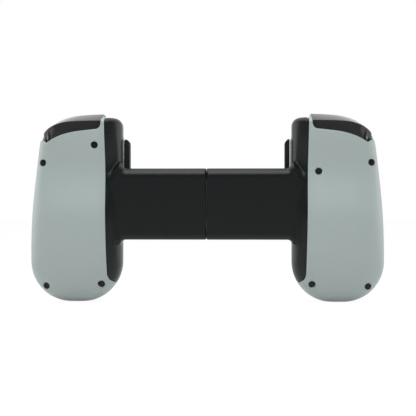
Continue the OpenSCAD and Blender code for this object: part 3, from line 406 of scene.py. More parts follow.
@dataclass(frozen=True)
class GripForm:
    """Outline and depths of a grip, in millimetres on the +X side."""

    x_out: float = 87.4
    x_in: float = 42.0
    height: float = 91.2
    toe_r: float = 20.0
    shoulder_r: float = 17.0
    shoulder_in: float = 4.0
    shoulder_z: float = 75.5
    shoulder_slope: float = math.radians(10)
    corner_r: float = 4.2
    swell_depth: float = 17.0
    swell_z: float = 40.0
    groove_depth: float = 11.7
    groove_z: float = 67.0
    rim_depth: float = 13.7
    rim_z: float = 83.5
    front_depth: float = 9.0
    front_toe: float = 9.0
    toe_power: float = 2.2
    top_round: float = 3.0
    top_keep: float = 0.45
    front_in: float = 0.25
    boss_in: float = 0.65
    boss_soft: float = 2.0
    boss_span: Flat = (31.5, 81.3)
    top_crest: float = 93.55
    top_slope: float = 1.2
    top_fall: float = 8.9
    top_power: float = 3.8
    top_span: Flat = (52.4, 81.9)

    @property
    def shoulder(self) -> Flat:
        """Centre of the shoulder's arc."""
        return self.x_out - self.shoulder_in - self.shoulder_r, self.shoulder_z

    def outer_edge(self, z: float) -> float:
        """Outer outline at a height.

        Args:
            z: height above the toe.

        Returns:
            X of the outline.
        """
        x0, z0 = self.shoulder
        side_x = x0 + self.shoulder_r * math.cos(self.shoulder_slope)
        side_z = z0 + self.shoulder_r * math.sin(self.shoulder_slope)
        if z < self.toe_r:
            return self.x_out - self.toe_r + math.sqrt(max(0.0, self.toe_r**2 - (self.toe_r - z)**2))
        if z < side_z:
            return self.x_out - (self.x_out - side_x) * ((z - self.toe_r) / (side_z - self.toe_r))**2
        return x0 + math.sqrt(max(0.0, self.shoulder_r**2 - (z - z0)**2))

    def top_edge(self, x: float) -> float:
        """Upper outline over the trigger.

        Args:
            x: place along the bridge.

        Returns:
            Z of the outline.
        """
        low, high = self.top_span
        share = max(0.0, x - low) / (high - low)
        return self.top_crest - self.top_slope * share - self.top_fall * share**self.top_power

    def boss(self, z: float) -> float:
        """How far the front stands in beside the phone pad."""
        low, high = self.boss_span
        return self.boss_in * ease((z - low) / self.boss_soft + 0.5) * ease((high - z) / self.boss_soft + 0.5)

    def inner_edge(self, z: float) -> float:
        """Inner outline at a height.

        Args:
            z: height above the toe.

        Returns:
            X of the outline.
        """
        bend = self.height - self.corner_r
        if z < self.toe_r:
            return self.x_in + self.toe_r - math.sqrt(max(0.0, self.toe_r**2 - (self.toe_r - z)**2))
        if z < bend:
            return self.x_in
        return self.x_in + self.corner_r - math.sqrt(max(0.0, self.corner_r**2 - (z - bend)**2))

    def top_fade(self, z: float) -> float:
        """Share of the depth that is left where the top edge is rounded."""
        turn = min(1.0, max(0.0, z - self.height + self.top_round) / self.top_round)
        return mix(self.top_keep, 1.0, math.sqrt(1 - turn * turn))

    def toe_fade(self, share: float) -> float:
        """Share of the depth that is reached at a share of the toe's height."""
        return (1 - max(0.0, 1 - share)**self.toe_power)**(1 / self.toe_power)

    def back_depth(self, z: float) -> float:
        """Depth of the back's crest at a height.

        Args:
            z: height above the toe.

        Returns:
            The depth behind the parting plane.
        """
        if z < self.swell_z:
            depth = self.swell_depth * self.toe_fade(z / self.swell_z)
        elif z < self.groove_z:
            share = ease((z - self.swell_z) / (self.groove_z - self.swell_z))
            depth = mix(self.swell_depth, self.groove_depth, share)
        else:
            share = ease((z - self.groove_z) / (self.rim_z - self.groove_z))
            depth = mix(self.groove_depth, self.rim_depth, share)
        return depth * self.top_fade(z)

    def front_at(self, z: float) -> float:
        """Depth of the front face at a height."""
        return self.front_depth * self.top_fade(z) * self.toe_fade(min(1.0, z / self.front_toe))


@dataclass(frozen=True)
class GripFace:
    """The back or the front surface of a grip over a chart of turn round the grip and way up it."""

    form: GripForm
    back: bool = True
    turn_mm: float = 20.0
    back_power: float = 2.8
    front_power: float = 6.0
    cap_short: float = 0.05
    toe_q: float = 0.6
    core_z: float = 40.0
    core_span: Flat = (20.0, 70.0)
    step_damp: float = 1e-4
    step_limit: float = 2.5

    @property
    def power(self) -> float:
        """Squareness of the face's cross-section."""
        return self.back_power if self.back else self.front_power

    def rim(self, z: float) -> tuple[float, float, float]:
        """Middle, half width and signed depth of the face at a height.

        Args:
            z: height above the toe.

        Returns:
            X of the middle, half width, and Y of the crest.
        """
        outer, inner = self.form.outer_edge(z), self.form.inner_edge(z)
        if self.back:
            return (outer + inner) / 2, (outer - inner) / 2, -self.form.back_depth(z)
        inner += self.form.front_in - self.form.boss(z)
        return (outer + inner) / 2, (outer - inner) / 2, self.form.front_at(z)

    def at(self, s: float, q: float) -> Vector:
        """Point of the surface.

        Args:
            s: turn, 0 at the outer parting line and pi times turn_mm at the inner one.
            q: way up; above the grip's height it runs over the flat top to the parting plane.

        Returns:
            The point in millimetres.
        """
        tall = self.form.height
        cap = max(0.0, q - tall)
        z = tall * (1 - math.cos(math.pi * min(q, tall) / tall)) / 2
        middle, half, depth = self.rim(z)
        turn = min(math.pi, max(0.0, s / self.turn_mm))
        cosine, sine = math.cos(turn), math.sin(turn)
        reach = (abs(cosine)**self.power + abs(sine)**self.power)**(-1 / self.power)
        y = depth * reach * sine
        shift = math.copysign(min(abs(y), cap), y)
        return Vector((middle + half * reach * cosine, y - shift, z))

    def chart(self, x: float, z: float) -> Flat:
        """Chart place of a point seen square on.

        Args:
            x: place along the bridge.
            z: height above the toe.

        Returns:
            Turn and way up.
        """
        tall = self.form.height
        way = tall / math.pi * math.acos(max(-1.0, min(1.0, 1 - 2 * z / tall)))
        middle, half, _ = self.rim(z)
        across = max(-1.0, min(1.0, (x - middle) / half))
        rise = (1 - abs(across)**self.power)**(1 / self.power)
        return math.atan2(rise, across) * self.turn_mm, way

    def cap_line(self, first: float, last: float, count: int = 24) -> list[Flat]:
        """Chart line along the end of the flat top, just short of the parting plane.

        Args:
            first: turn at the start.
            last: turn at the end.
            count: number of points.

        Returns:
            Points of the line.
        """
        tall = self.form.height
        return [(float(s), tall + max(0.0, abs(self.at(s, tall).y) - self.cap_short))
                for s in np.linspace(first, last, count)]

    def frame(self, s: float, q: float, step: float = 0.05) -> tuple[Vector, Vector, Vector]:
        """Tangents along the chart and the outward normal.

        Args:
            s: turn.
            q: way up.
            step: half of the chart step that the slopes are taken over.

        Returns:
            Tangent along s, tangent along q, and the normal.
        """
        s = min(math.pi * self.turn_mm - 2 * step, max(2 * step, s))
        q = max(self.toe_q, q)
        along = (self.at(s + step, q) - self.at(s - step, q)) / (2 * step)
        up = (self.at(s, q + step) - self.at(s, q - step)) / (2 * step)
        normal = along.cross(up)
        if normal.length < NO_LENGTH:
            normal = Vector((0, -1 if self.back else 1, 0))
        normal.normalize()
        spot = self.at(s, q)
        low, high = self.core_span
        core = Vector((self.rim(self.core_z)[0], 0, min(high, max(low, spot.z))))
        if normal.dot(spot - core) < 0:
            normal.negate()
        return along, up, normal

    def stepped(self, s: float, q: float, way: Vector, length: float) -> Flat:
        """Chart place reached by going along the surface.

        Args:
            s: turn at the start.
            q: way up at the start.
            way: direction in space.
            length: distance in millimetres.

        Returns:
            Turn and way up at the end.
        """
        along, up, _ = self.frame(s, q)
        slopes = np.array([[along.dot(along), along.dot(up)], [along.dot(up), up.dot(up)]])
        goal = np.array([along.dot(way), up.dot(way)]) * length
        ds, dq = np.linalg.solve(slopes + np.eye(2) * self.step_damp, goal)
        limit = self.step_limit * length
        return s + max(-limit, min(limit, float(ds))), q + max(-limit, min(limit, float(dq)))


def spaced(points: Sequence[Flat], gap: float) -> list[Flat]:
    """A closed line with evenly spaced points.

    Args:
        points: corners of the line.
        gap: wanted distance between points.

    Returns:
        The points, without a repeated last one.
    """
    line = np.array([*points, points[0]], dtype=float)
    length = np.concatenate([[0.0], np.cumsum(np.linalg.norm(np.diff(line, axis=0), axis=1))])
    count = max(3, int(round(length[-1] / gap)))
    ticks = np.linspace(0.0, length[-1], count + 1)[:-1]
    return [(float(np.interp(t, length, line[:, 0])), float(np.interp(t, length, line[:, 1]))) for t in ticks]


def rounded(corners: Sequence[tuple[float, float, float]], steps: int = 8) -> list[Flat]:
    """A closed outline with rounded corners.

    Args:
        corners: X, Z and radius of each corner.
        steps: pieces that each arc is made of.

    Returns:
        Points of the outline.
    """
    line: list[Flat] = []
    for index, (x, z, radius) in enumerate(corners):
        here = np.array([x, z])
        before = np.array(corners[index - 1][:2]) - here
        after = np.array(corners[(index + 1) % len(corners)][:2]) - here
        before, after = before / np.linalg.norm(before), after / np.linalg.norm(after)
        half = math.acos(float(np.clip(before @ after, -1, 1))) / 2
        if radius <= 0 or half > math.pi / 2 - STRAIGHT:
            line.append((x, z))
            continue
        back = radius / math.tan(half)
        middle = here + (before + after) / np.linalg.norm(before + after) * radius / math.sin(half)
        start, end = here + before * back - middle, here + after * back - middle
        swing = math.atan2(start[0] * end[1] - start[1] * end[0], float(start @ end))
        for tick in range(steps + 1):
            turn = swing * tick / steps
            turned = (start[0] * math.cos(turn) - start[1] * math.sin(turn),
                      start[0] * math.sin(turn) + start[1] * math.cos(turn))
            line.append((float(middle[0] + turned[0]), float(middle[1] + turned[1])))
    return line


def ring(x: float, z: float, radius: float, count: int = 36) -> list[Flat]:
    """Points of a circle."""
    return [(x + radius * math.cos(math.tau * k / count), z + radius * math.sin(math.tau * k / count))
            for k in range(count)]


def inside(points: np.ndarray, loops: Iterable[Sequence[Flat]]) -> np.ndarray:
    """Which points lie inside an odd number of loops.

    Args:
        points: the points, one to a row.
        loops: closed outlines.

    Returns:
        True for each point that is inside.
    """
    result = np.zeros(len(points), dtype=bool)
    for loop in loops:
        corners = np.array(loop)
        for (x0, z0), (x1, z1) in zip(corners, np.roll(corners, -1, axis=0)):
            if z0 == z1:
                continue
            crosses = (z0 > points[:, 1]) != (z1 > points[:, 1])
            result ^= crosses & (points[:, 0] < (x1 - x0) * (points[:, 1] - z0) / (z1 - z0) + x0)
    return result


class Mould:
    """A mesh under construction, in millimetres."""

    WELD: float = 0.004

    def __init__(self) -> None:
        """Starts with no points."""
        self.points: list[tuple[float, float, float]] = []
        self.faces: list[tuple[int, ...]] = []

    def add(self, rows: Iterable[Iterable[float]]) -> list[int]:
        """Adds points.

        Args:
            rows: X, Y and Z of each point.

        Returns:
            Their numbers.
        """
        first = len(self.points)
        self.points.extend(tuple(float(c) for c in row) for row in rows)
        return list(range(first, len(self.points)))

    def bridge(self, first: Sequence[int], second: Sequence[int]) -> None:
        """Joins two rings of points with quads.

        Args:
            first: numbers of one ring.
            second: numbers of the other ring.
        """
        count = len(first)
        for k in range(count):
            n = (k + 1) % count
            self.faces.append((first[k], first[n], second[n], second[k]))

    def cap(self, row: Sequence[int]) -> None:
        """Closes a ring with one face."""
        self.faces.append(tuple(row))

    def rings(self, rows: Sequence[Sequence[Sequence[float]]]) -> "Mould":
        """Adds a tube through rings of points, closed at both ends.

        Args:
            rows: the rings, each with as many points.

        Returns:
            This mould.
        """
        made = [self.add(row) for row in rows]
        for first, second in zip(made, made[1:]):
            self.bridge(first, second)
        self.cap(made[0])
        self.cap(made[-1])
        return self

    def cast(self, name: str, finish: Finish, side: Side = Side.LEFT) -> bpy.types.Object:
        """Makes the object.

        Args:
            name: the piece's name.
            finish: what it is made of.
            side: the right side is mirrored.

        Returns:
            The object, linked into the scene.
        """
        mesh = bpy.data.meshes.new(name)
        scale = np.array([side.value * MM, MM, MM])
        mesh.from_pydata((np.array(self.points) * scale).tolist(), [], self.faces)
        shell = bmesh.new()
        shell.from_mesh(mesh)
        bmesh.ops.remove_doubles(shell, verts=shell.verts, dist=self.WELD * MM)
        bmesh.ops.recalc_face_normals(shell, faces=shell.faces)
        shell.to_mesh(mesh)
        shell.free()
        made = bpy.data.objects.new(name, mesh)
        bpy.context.scene.collection.objects.link(made)
        smooth(made)
        made.data.materials.append(finish.material())
        return made


def smooth(piece: bpy.types.Object, sharp: float = 35.0) -> None:
    """Smooth shading, save for edges sharper than an angle in degrees."""
    piece.data.shade_smooth()
    piece.data.set_sharp_from_angle(angle=math.radians(sharp))


def apply_modifiers(piece: bpy.types.Object) -> None:
    """Bakes a piece's modifiers into its mesh.

    Args:
        piece: the piece.
    """
    ready = piece.evaluated_get(bpy.context.evaluated_depsgraph_get())
    mesh = bpy.data.meshes.new_from_object(ready)
    piece.modifiers.clear()
    piece.data = mesh


def cut(piece: bpy.types.Object, *cutters: bpy.types.Object) -> None:
    """Cuts other meshes out of a piece and removes them.

    Args:
        piece: the mesh that is cut.
        cutters: closed meshes.
    """
    for cutter in cutters:
        knife = piece.modifiers.new("cut", "BOOLEAN")
        knife.object, knife.operation, knife.solver = cutter, "DIFFERENCE", "EXACT"
    apply_modifiers(piece)
    for cutter in cutters:
        bpy.data.objects.remove(cutter)


@dataclass(frozen=True)
class Edge:
    """A closed outline on a face with the radius that its edge is rolled with."""

    line: Sequence[Flat]
    roll: float = 0.4


@dataclass
class TrimmedPatch:
    """A shell that follows a grip's face inside an outline, with rolled edges and a wall behind them."""

    face: GripFace
    outline: Edge
    holes: Sequence[Edge] = ()
    thickness: float = 1.3
    grid: float = 1.5
    row_share: float = 0.87
    keep_off: float = 0.55
    turns: int = 4

    def build(self) -> Mould:
        """Meshes the shell.

        Returns:
            A closed mesh.
        """
        edges = [self.outline, *self.holes]
        loops, ways = zip(*(self._inward(edge, number == 0) for number, edge in enumerate(edges)))
        plan, faces, rims = self._triangles(loops)
        spots = [self.face.at(*place) for place in plan]
        normals = [self.face.frame(*place)[2] for place in plan]
        mould = Mould()
        skin = mould.add(spots)
        back = mould.add(spot - normal * self.thickness for spot, normal in zip(spots, normals))
        mould.faces.extend(tuple(skin[k] for k in face) for face in faces)
        mould.faces.extend(tuple(back[k] for k in reversed(face)) for face in faces)
        for edge, rim, way in zip(edges, rims, ways):
            self._roll(mould, edge.roll, rim, way, (spots, normals), (skin, back))
        return mould

    def _inward(self, edge: Edge, outer: bool) -> tuple[list[Flat], list[Vector]]:
        """Moves an outline into the material by its roll.

        Args:
            edge: the outline in the chart.
            outer: whether the material is inside it.

        Returns:
            The moved outline, and the way into the material at each of its points.
        """
        line = np.array(edge.line)
        area = float(np.sum(line[:, 0] * np.roll(line[:, 1], -1) - np.roll(line[:, 0], -1) * line[:, 1]))
        if (area > 0) != outer:
            line = line[::-1]
        moved, ways = [], []
        for before, here, after in zip(np.roll(line, 1, axis=0), line, np.roll(line, -1, axis=0)):
            along, up, _ = self.face.frame(*here)
            step = after - before
            run = (along * float(step[0]) + up * float(step[1])).normalized()
            normal = along.cross(up).normalized()
            way = normal.cross(run).normalized()
            moved.append(self.face.stepped(float(here[0]), float(here[1]), way, edge.roll))
            ways.append(way)
        return moved, ways

    def _triangles(self, loops: Sequence[Sequence[Flat]]) -> tuple[list[Flat], list[tuple], list[list[int]]]:
        """Fills the loops with triangles.

        Args:
            loops: the outline and the holes.

        Returns:
            Chart points, triangles, and the numbers of each loop's points.
        """
        points: list[Flat] = [place for loop in loops for place in loop]
        links, rims, first = [], [], 0
        for loop in loops:
            rims.append(list(range(first, first + len(loop))))
            links.extend((first + k, first + (k + 1) % len(loop)) for k in range(len(loop)))
            first += len(loop)
        rim = np.array(points)
        low, high = rim.min(axis=0), rim.max(axis=0)
        columns = np.arange(low[0], high[0], self.grid)
        rows = np.arange(low[1], high[1], self.grid * self.row_share)
        net = np.array([(c + (r % 2) * self.grid / 2, q) for r, q in enumerate(rows) for c in columns])
        net = net[inside(net, loops)]
        near = np.array([np.min(np.sum((rim - place)**2, axis=1)) for place in net])
        points.extend(map(tuple, net[near > (self.grid * self.keep_off)**2]))
        flat, _, faces, origin, _, _ = delaunay_2d_cdt([Vector(p) for p in points], links, [], 0, SAME_PLACE)
        renamed = {old: new for new, olds in enumerate(origin) for old in olds}
        plan = [(place.x, place.y) for place in flat]
        centres = np.array([np.mean([plan[k] for k in face], axis=0) for face in faces])
        kept = [tuple(face) for face, good in zip(faces, inside(centres, loops)) if good]
        return plan, kept, [[renamed[k] for k in row] for row in rims]

    def _roll(self, mould: Mould, radius: float, rim: Sequence[int], ways: Sequence[Vector],
              surface: tuple[list[Vector], list[Vector]], numbers: tuple[list[int], list[int]]) -> None:
        """Rounds an edge over and closes it to the shell's inner side.

        Args:
            mould: mesh that is added to.
            radius: radius of the round.
            rim: the edge's points in the plan.
            ways: way into the material at each.
            surface: points and normals of the plan.
            numbers: mesh points of the outer and of the inner side.
        """
        spots, normals = surface
        last = [numbers[0][k] for k in rim]
        for turn in range(1, self.turns + 1):
            angle = math.pi / 2 * turn / self.turns
            last = self._row(mould, last, [
                spots[k] - way * radius * math.sin(angle) - normals[k] * radius * (1 - math.cos(angle))
                for k, way in zip(rim, ways)])
        last = self._row(mould, last, [
            spots[k] - way * radius - normals[k] * self.thickness for k, way in zip(rim, ways)])
        mould.bridge(last, [numbers[1][k] for k in rim])

    @staticmethod
    def _row(mould: Mould, last: Sequence[int], row: Sequence[Vector]) -> list[int]:
        """Adds one more row to a rolled edge.

        Args:
            mould: mesh that is added to.
            last: numbers of the row before.
            row: points of the new row.

        Returns:
            Numbers of the new row.
        """
        numbers = mould.add(row)
        mould.bridge(last, numbers)
        return numbers


def fit(piece: bpy.types.Object, body: str, finish: Finish, *nodes: str) -> bpy.types.Object:
    """Puts a piece into the frame.

    Args:
        piece: the visual piece.
        body: CAD body that it moves with.
        finish: not used.
        nodes: CAD nodes that it stands for.

    Returns:
        The piece.
    """
    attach(piece, body)
    if nodes:
        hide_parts(*nodes)
    log.info("%s rides on %s: %d faces", piece.name, body, len(piece.data.polygons))
    return piece


@dataclass
class RearCover:
    """Pale back cover of a grip: its outline with the trigger's notch and the four screw holes."""

    form: GripForm
    side: Side
    seam_x: float = 49.8
    lean: float = 1.4
    foot_z: float = 9.5
    foot_r: float = 5.0
    foot_turn: float = 0.1
    notch_x: float = 51.3
    notch_r: float = 3.0
    notch_turn: float = 0.15
    pillar_rise: float = 0.5
    rim_top: float = 85.2
    rim_slope: float = 0.11
    rim_bend: float = 60.0
    rim_fall: float = 4.0
    rim_power: float = 2.5
    tip_x: float = 79.1
    tip_back: float = 1.3
    # The notch's tip as steps from it, then the lip beside it: its width and rise, and steps from its end.
    tip_curve: Sequence[Flat] = ((0.7, 0.65), (0.0, 0.1), (-0.6, 0.05))
    lip: Flat = (1.5, 1.8)
    lip_curve: Sequence[Flat] = ((0.8, -0.1), (0.0, -0.45))
    low_q: float = 0.15
    cap_short: float = 0.02
    edge_gap: float = 0.4
    edge_roll: float = 0.26
    hole_r: float = 1.72
    hole_roll: float = 0.3
    screws: Sequence[Flat] = ((80.5, 68.75), (78.7, 8.3), (51.3, 9.3))
    inner_screw: dict[Side, Flat] = field(
        default_factory=lambda: {Side.LEFT: (54.5, 64.4), Side.RIGHT: (54.5, 77.2)})

    @property
    def face(self) -> GripFace:
        """The grip's back surface."""
        return GripFace(self.form)

    def rim_at(self, x: float) -> float:
        """Height of the notch's lower rim, and of the lip beside its tip.

        Args:
            x: place along the bridge.

        Returns:
            Z of the rim.
        """
        place = min(x, self.tip_x)
        run = max(0.0, place - self.rim_bend) / (self.tip_x - self.rim_bend)
        wide, rise = self.lip
        lip = rise * min(1.0, max(0.0, x - self.tip_x) / wide)
        fall = self.rim_fall * run**self.rim_power
        return self.rim_top - self.rim_slope * (place - self.notch_x) - fall + lip

    def cap_end(self, x: float) -> Flat:
        """Chart place at the end of the flat top, just short of the parting plane.

        Args:
            x: place along the bridge.

        Returns:
            Turn and way up.
        """
        face = self.face
        turn, way = face.chart(x, self.form.height)
        return turn, way + abs(face.at(turn, way).y) - self.cap_short

    def seam(self, gap: float) -> list[Flat]:
        """Chart line of the seam from the flat top to the inner parting line.

        Args:
            gap: shift towards the bridge.

        Returns:
            Points of the line.
        """
        face, x, foot_z, foot_r = self.face, self.seam_x - gap, self.foot_z, self.foot_r
        low = x - self.lean
        line = [(mix(x, low, t), mix(self.form.height, foot_z + foot_r, t)) for t in np.linspace(0, 1, 60)]
        line += [(low - foot_r + foot_r * math.cos(a), foot_z + gap + foot_r - foot_r * math.sin(a))
                 for a in np.linspace(self.foot_turn, math.pi / 2, 8)]
        inner = self.form.inner_edge(foot_z)
        end = (math.pi * face.turn_mm, face.chart(inner, foot_z + gap)[1])
        return [self.cap_end(x)] + [face.chart(*place) for place in line] + [end]

    def notch(self) -> list[Flat]:
        """Chart line of the trigger's notch from the outer silhouette to the flat top.

        Returns:
            Points of the line.
        """
        face, tip, radius = self.face, self.tip_x, self.notch_r
        wide, rise = self.lip
        lip_x, lip_z = tip + wide, self.rim_at(tip) + rise
        lip = face.chart(self.form.outer_edge(lip_z), lip_z)
        line = [(lip_x + dx, lip_z + dz) for dx, dz in self.lip_curve]
        line += [(tip + dx, self.rim_at(tip + min(0.0, dx)) + dz) for dx, dz in self.tip_curve]
        bend = self.notch_x + radius
        line += [(x, self.rim_at(x)) for x in np.linspace(tip - self.tip_back, bend, 40)]
        low = self.rim_at(bend) + radius
        line += [(bend - radius * math.sin(a), low - radius * math.cos(a))
                 for a in np.linspace(self.notch_turn, math.pi / 2, 8)]
        line += [(self.notch_x, z) for z in np.linspace(low + self.pillar_rise, self.form.height, 6)]
        return [(0.0, lip[1])] + [face.chart(*place) for place in line] + [self.cap_end(self.notch_x)]

    def outline(self) -> list[Flat]:
        """Closed chart outline of the cover."""
        end = math.pi * self.face.turn_mm
        return [(0.0, self.low_q)] + self.notch() + self.seam(0.0) + [(end, self.low_q)]

    def build(self) -> bpy.types.Object:
        """Makes the cover and puts it in the frame.

        Returns:
            The cover.
        """
        holes = [Edge([self.face.chart(*place) for place in ring(*centre, self.hole_r, 26)], self.hole_roll)
                 for centre in (*self.screws, self.inner_screw[self.side])]
        edge = Edge(spaced(self.outline(), self.edge_gap), self.edge_roll)
        piece = TrimmedPatch(self.face, edge, holes).build().cast(
            self.side.node("cover_skin"), COVER, self.side)
        return fit(piece, self.side.half, COVER, self.side.node("rear_cover"))


@dataclass
class BridgeHousing:
    """Dark T-shaped moulding: the strip beside a cover and that half of the bridge."""

    cover: RearCover
    side: Side
    low: float = 31.0
    high: float = 66.0
    back: float = -11.5
    front: float = -4.6
    start_x: float = 0.06
    end_step: float = 0.12
    end_round: float = 0.35
    # Where its rings lie: along the plain length, along the root, and buried in the strip.
    plain_span: Flat = (4.0, 36.0)
    root_from: float = 37.0
    buried_span: Flat = (42.6, 48.6)
    top_r: float = 4.2
    root_r: float = 9.5
    root_front: float = -1.0
    low_r: float = 2.25
    sink: float = 0.7
    root: float = 5.0
    flare_top: float = 3.2
    flare_low: float = 2.4
    # Lower and upper edge and floor of the channel that the slide runs in.
    channel: tuple[float, float, float] = (32.6, 64.4, -9.9)
    channel_front: float = 2.0
    channel_r: Flat = (1.2, 2.2)
    channel_span: Flat = (-3.0, 62.0)
    seam_gap: float = 0.16
    edge_gap: float = 0.55
    edge_roll: float = 0.3
    wall: float = 1.8
    voxel: float = 0.38
    soften_share: float = 0.5
    soften_rounds: int = 6
    sharp: float = 40.0

    def flare(self, x: float, radius: float) -> float:
        """Growth of the bridge's edge where it runs into the strip.

        Args:
            x: place along the bridge.
            radius: radius of the round that it runs out in.

        Returns:
            The growth.
        """
        inner = self.cover.form.x_in
        run = min(radius, max(0.0, x - inner + radius))
        return radius - math.sqrt(max(0.0, radius * radius - run * run))

    def section(self, x: float) -> list[tuple[float, float, float]]:
        """Ring of points of the bridge at a place along it.

        Args:
            x: the place.

        Returns:
            The points.
        """
        top = self.high + self.flare(x, self.flare_top)
        low = self.low - self.flare(x, self.flare_low)
        ends = min(self.end_round, max(0.0, self.start_x + self.end_round - x))
        deep = ease((x - self.cover.form.x_in) / self.root)
        back, front = self.back + ends + self.sink * deep, mix(self.front, self.root_front, deep)
        corners = [(front, low + ends, 0), (back, low + ends, self.low_r),
                   (back, top - ends, mix(self.top_r, self.root_r, deep)), (front, top - ends, 0)]
        return [(x, y, z) for y, z in rounded(corners, 10)]

    def strip(self) -> Mould:
        """Shell of the strip between the cover and the grip's inner wall.

        Returns:
            A closed mesh.
        """
        face, form = self.cover.face, self.cover.form
        end = math.pi * face.turn_mm
        line = self.cover.seam(self.seam_gap)
        path = line + [(end, q) for q in np.linspace(line[-1][1], form.height - TOP_GAP, 60)[1:]]
        path += face.cap_line(end - CAP_GAP, line[0][0])[:-1]
        return TrimmedPatch(face, Edge(spaced(path, self.edge_gap), self.edge_roll), (), self.wall).build()

    def build(self) -> bpy.types.Object:
        """Makes the housing and puts it in the frame.

        Returns:
            The housing.
        """
        mould = self.strip()
        stops = [self.start_x, self.start_x + self.end_step, self.start_x + self.end_round,
                 *np.linspace(*self.plain_span, 9), *np.linspace(self.root_from, self.cover.form.x_in, 14),
                 *np.linspace(*self.buried_span, 10)]
        mould.rings([self.section(x) for x in stops])
        piece = mould.cast(self.side.node("housing_skin"), HOUSING, self.side)
        remesh = piece.modifiers.new("skin", "REMESH")
        remesh.mode, remesh.voxel_size = "VOXEL", self.voxel * MM
        soften = piece.modifiers.new("soften", "SMOOTH")
        soften.factor, soften.iterations = self.soften_share, self.soften_rounds
        cut(piece, self.slot_cutter())
        smooth(piece, self.sharp)
        return fit(piece, self.side.half, HOUSING, self.side.node("bridge_housing"))

    def slot_cutter(self) -> bpy.types.Object:
        """Solid of the channel that the slide runs in.

        Returns:
            The solid, to be cut out of the housing.
        """
        low, high, deep = self.channel
        low_r, high_r = self.channel_r
        profile = rounded([(self.channel_front, low, 0), (deep, low, low_r), (deep, high, high_r),
                           (self.channel_front, high, 0)], 5)
        rows = [[(x, y, z) for y, z in profile] for x in self.channel_span]
        return Mould().rings(rows).cast("slot_cutter", HOUSING, self.side)


@dataclass
class FrontShell:
    """Pale front half of a grip, with the holes for its controls and the shoulder button's gap."""

    form: GripForm
    side: Side
    gap_z: float = 84.75
    gap_x: float = 51.0
    gap_y: float = 7.2
    gap_end: float = 68.5
    gap_soft: float = 0.35
    gap_rise: float = 0.3
    outer_x: float = 80.0
    top_z: float = 91.05
    low_q: float = 0.15
    full: float = 0.9999
    # Middle of the left grip's stick, and of the lower control of either grip.
    upper: Flat = (67.5, 66.0)
    lower: Flat = (63.0, 35.0)
    stick_r: float = 7.4
    cross_reach: float = 10.3
    cross_half: float = 4.1
    cross_r: float = 0.7
    cross_gap: float = 0.4
    cluster: Flat = (65.3, 64.5)
    cluster_step: float = 8.6
    button_r: float = 4.75
    small_x: float = 49.8
    small_z: Flat = (74.0, 21.0)
    small_r: float = 2.5
    socket: Flat = (65.0, 2.9)
    socket_span: Flat = (-1.0, 5.0)
    jack_r: float = 2.3
    port: Flat = (9.7, 3.9)
    port_round: float = 0.98
    edge_gap: float = 0.6
    edge_roll: float = 0.3
    sharp: float = 38.0

    @property
    def face(self) -> GripFace:
        """The grip's front surface."""
        return GripFace(self.form, back=False)

    def outline(self) -> list[Flat]:
        """Closed chart outline of the shell.

        Returns:
            Points of the outline.
        """
        face = self.face
        end = math.pi * face.turn_mm
        line = [(0.0, self.low_q), (0.0, face.chart(self.outer_x, self.gap_z)[1])]
        for z in np.linspace(self.gap_z, self.top_z - self.gap_soft, 9):
            depth = face.rim(z)[2]
            line.append((self.turn_at(self.gap_y / depth), face.chart(self.outer_x, z)[1]))
        line += [face.chart(x, self.top_z) for x in np.linspace(self.gap_end, self.gap_x, 20)]
        line += [face.chart(self.gap_x, z) for z in (self.top_z + self.gap_rise, self.form.height)]
        turn, way = face.chart(self.gap_x, self.form.height)
        return line + face.cap_line(turn, end - CAP_GAP) + [(end, way - TOP_GAP), (end, self.low_q)]

    def turn_at(self, share: float) -> float:
        """Turn on the outer side at which the face has a share of its depth.

        Args:
            share: the share, from 0 to 1.

        Returns:
            The turn.
        """
        face = self.face
        across = (1 - min(self.full, share)**face.power)**(1 / face.power)
        return math.atan2(share, across) * face.turn_mm

    def openings(self) -> list[list[Flat]]:
        """Outlines of the holes, seen square on.

        Returns:
            The outlines: small buttons, stick, then face buttons or direction pad.
        """
        small = [ring(self.small_x, z, self.small_r, 26) for z in self.small_z]
        if self.side is Side.RIGHT:
            (x, z), step = self.cluster, self.cluster_step
            buttons = [ring(x + step * dx, z + step * dz, self.button_r, 40)
                       for dx, dz in ((0, 1), (0, -1), (1, 0), (-1, 0))]
            return small + [ring(*self.lower, self.stick_r, 60)] + buttons
        pad = cross(*self.lower, self.cross_reach, self.cross_half, self.cross_r)
        return small + [ring(*self.upper, self.stick_r, 60), spaced(pad, self.cross_gap)]

    def build(self) -> bpy.types.Object:
        """Makes the shell and puts it in the frame.

        Returns:
            The shell.
        """
        loops = [[self.face.chart(*place) for place in loop] for loop in self.openings()]
        holes = [Edge(loop, self.edge_roll) for loop in loops]
        edge = Edge(spaced(self.outline(), self.edge_gap), self.edge_roll)
        piece = TrimmedPatch(self.face, edge, holes).build().cast(
            self.side.node("front_skin"), FRONT, self.side)
        rows = [[(x, y, z) for x, y in self.socket_hole()] for z in self.socket_span]
        cut(piece, Mould().rings(rows).cast("socket_hole", FRONT, self.side))
        smooth(piece, self.sharp)
        return fit(piece, self.side.half, FRONT, self.side.node("front_shell"))

    def socket_hole(self) -> list[Flat]:
        """Outline of the hole in the toe: round for headphones, long for charging.

        Returns:
            Points of the outline.
        """
        x, y = self.socket
        if self.side is Side.LEFT:
            return ring(x, y, self.jack_r, 32)
        wide, high = self.port[0] / 2, self.port[1] / 2
        return rounded([(x + a * wide, y + b * high, high * self.port_round) for a, b in SQUARE])


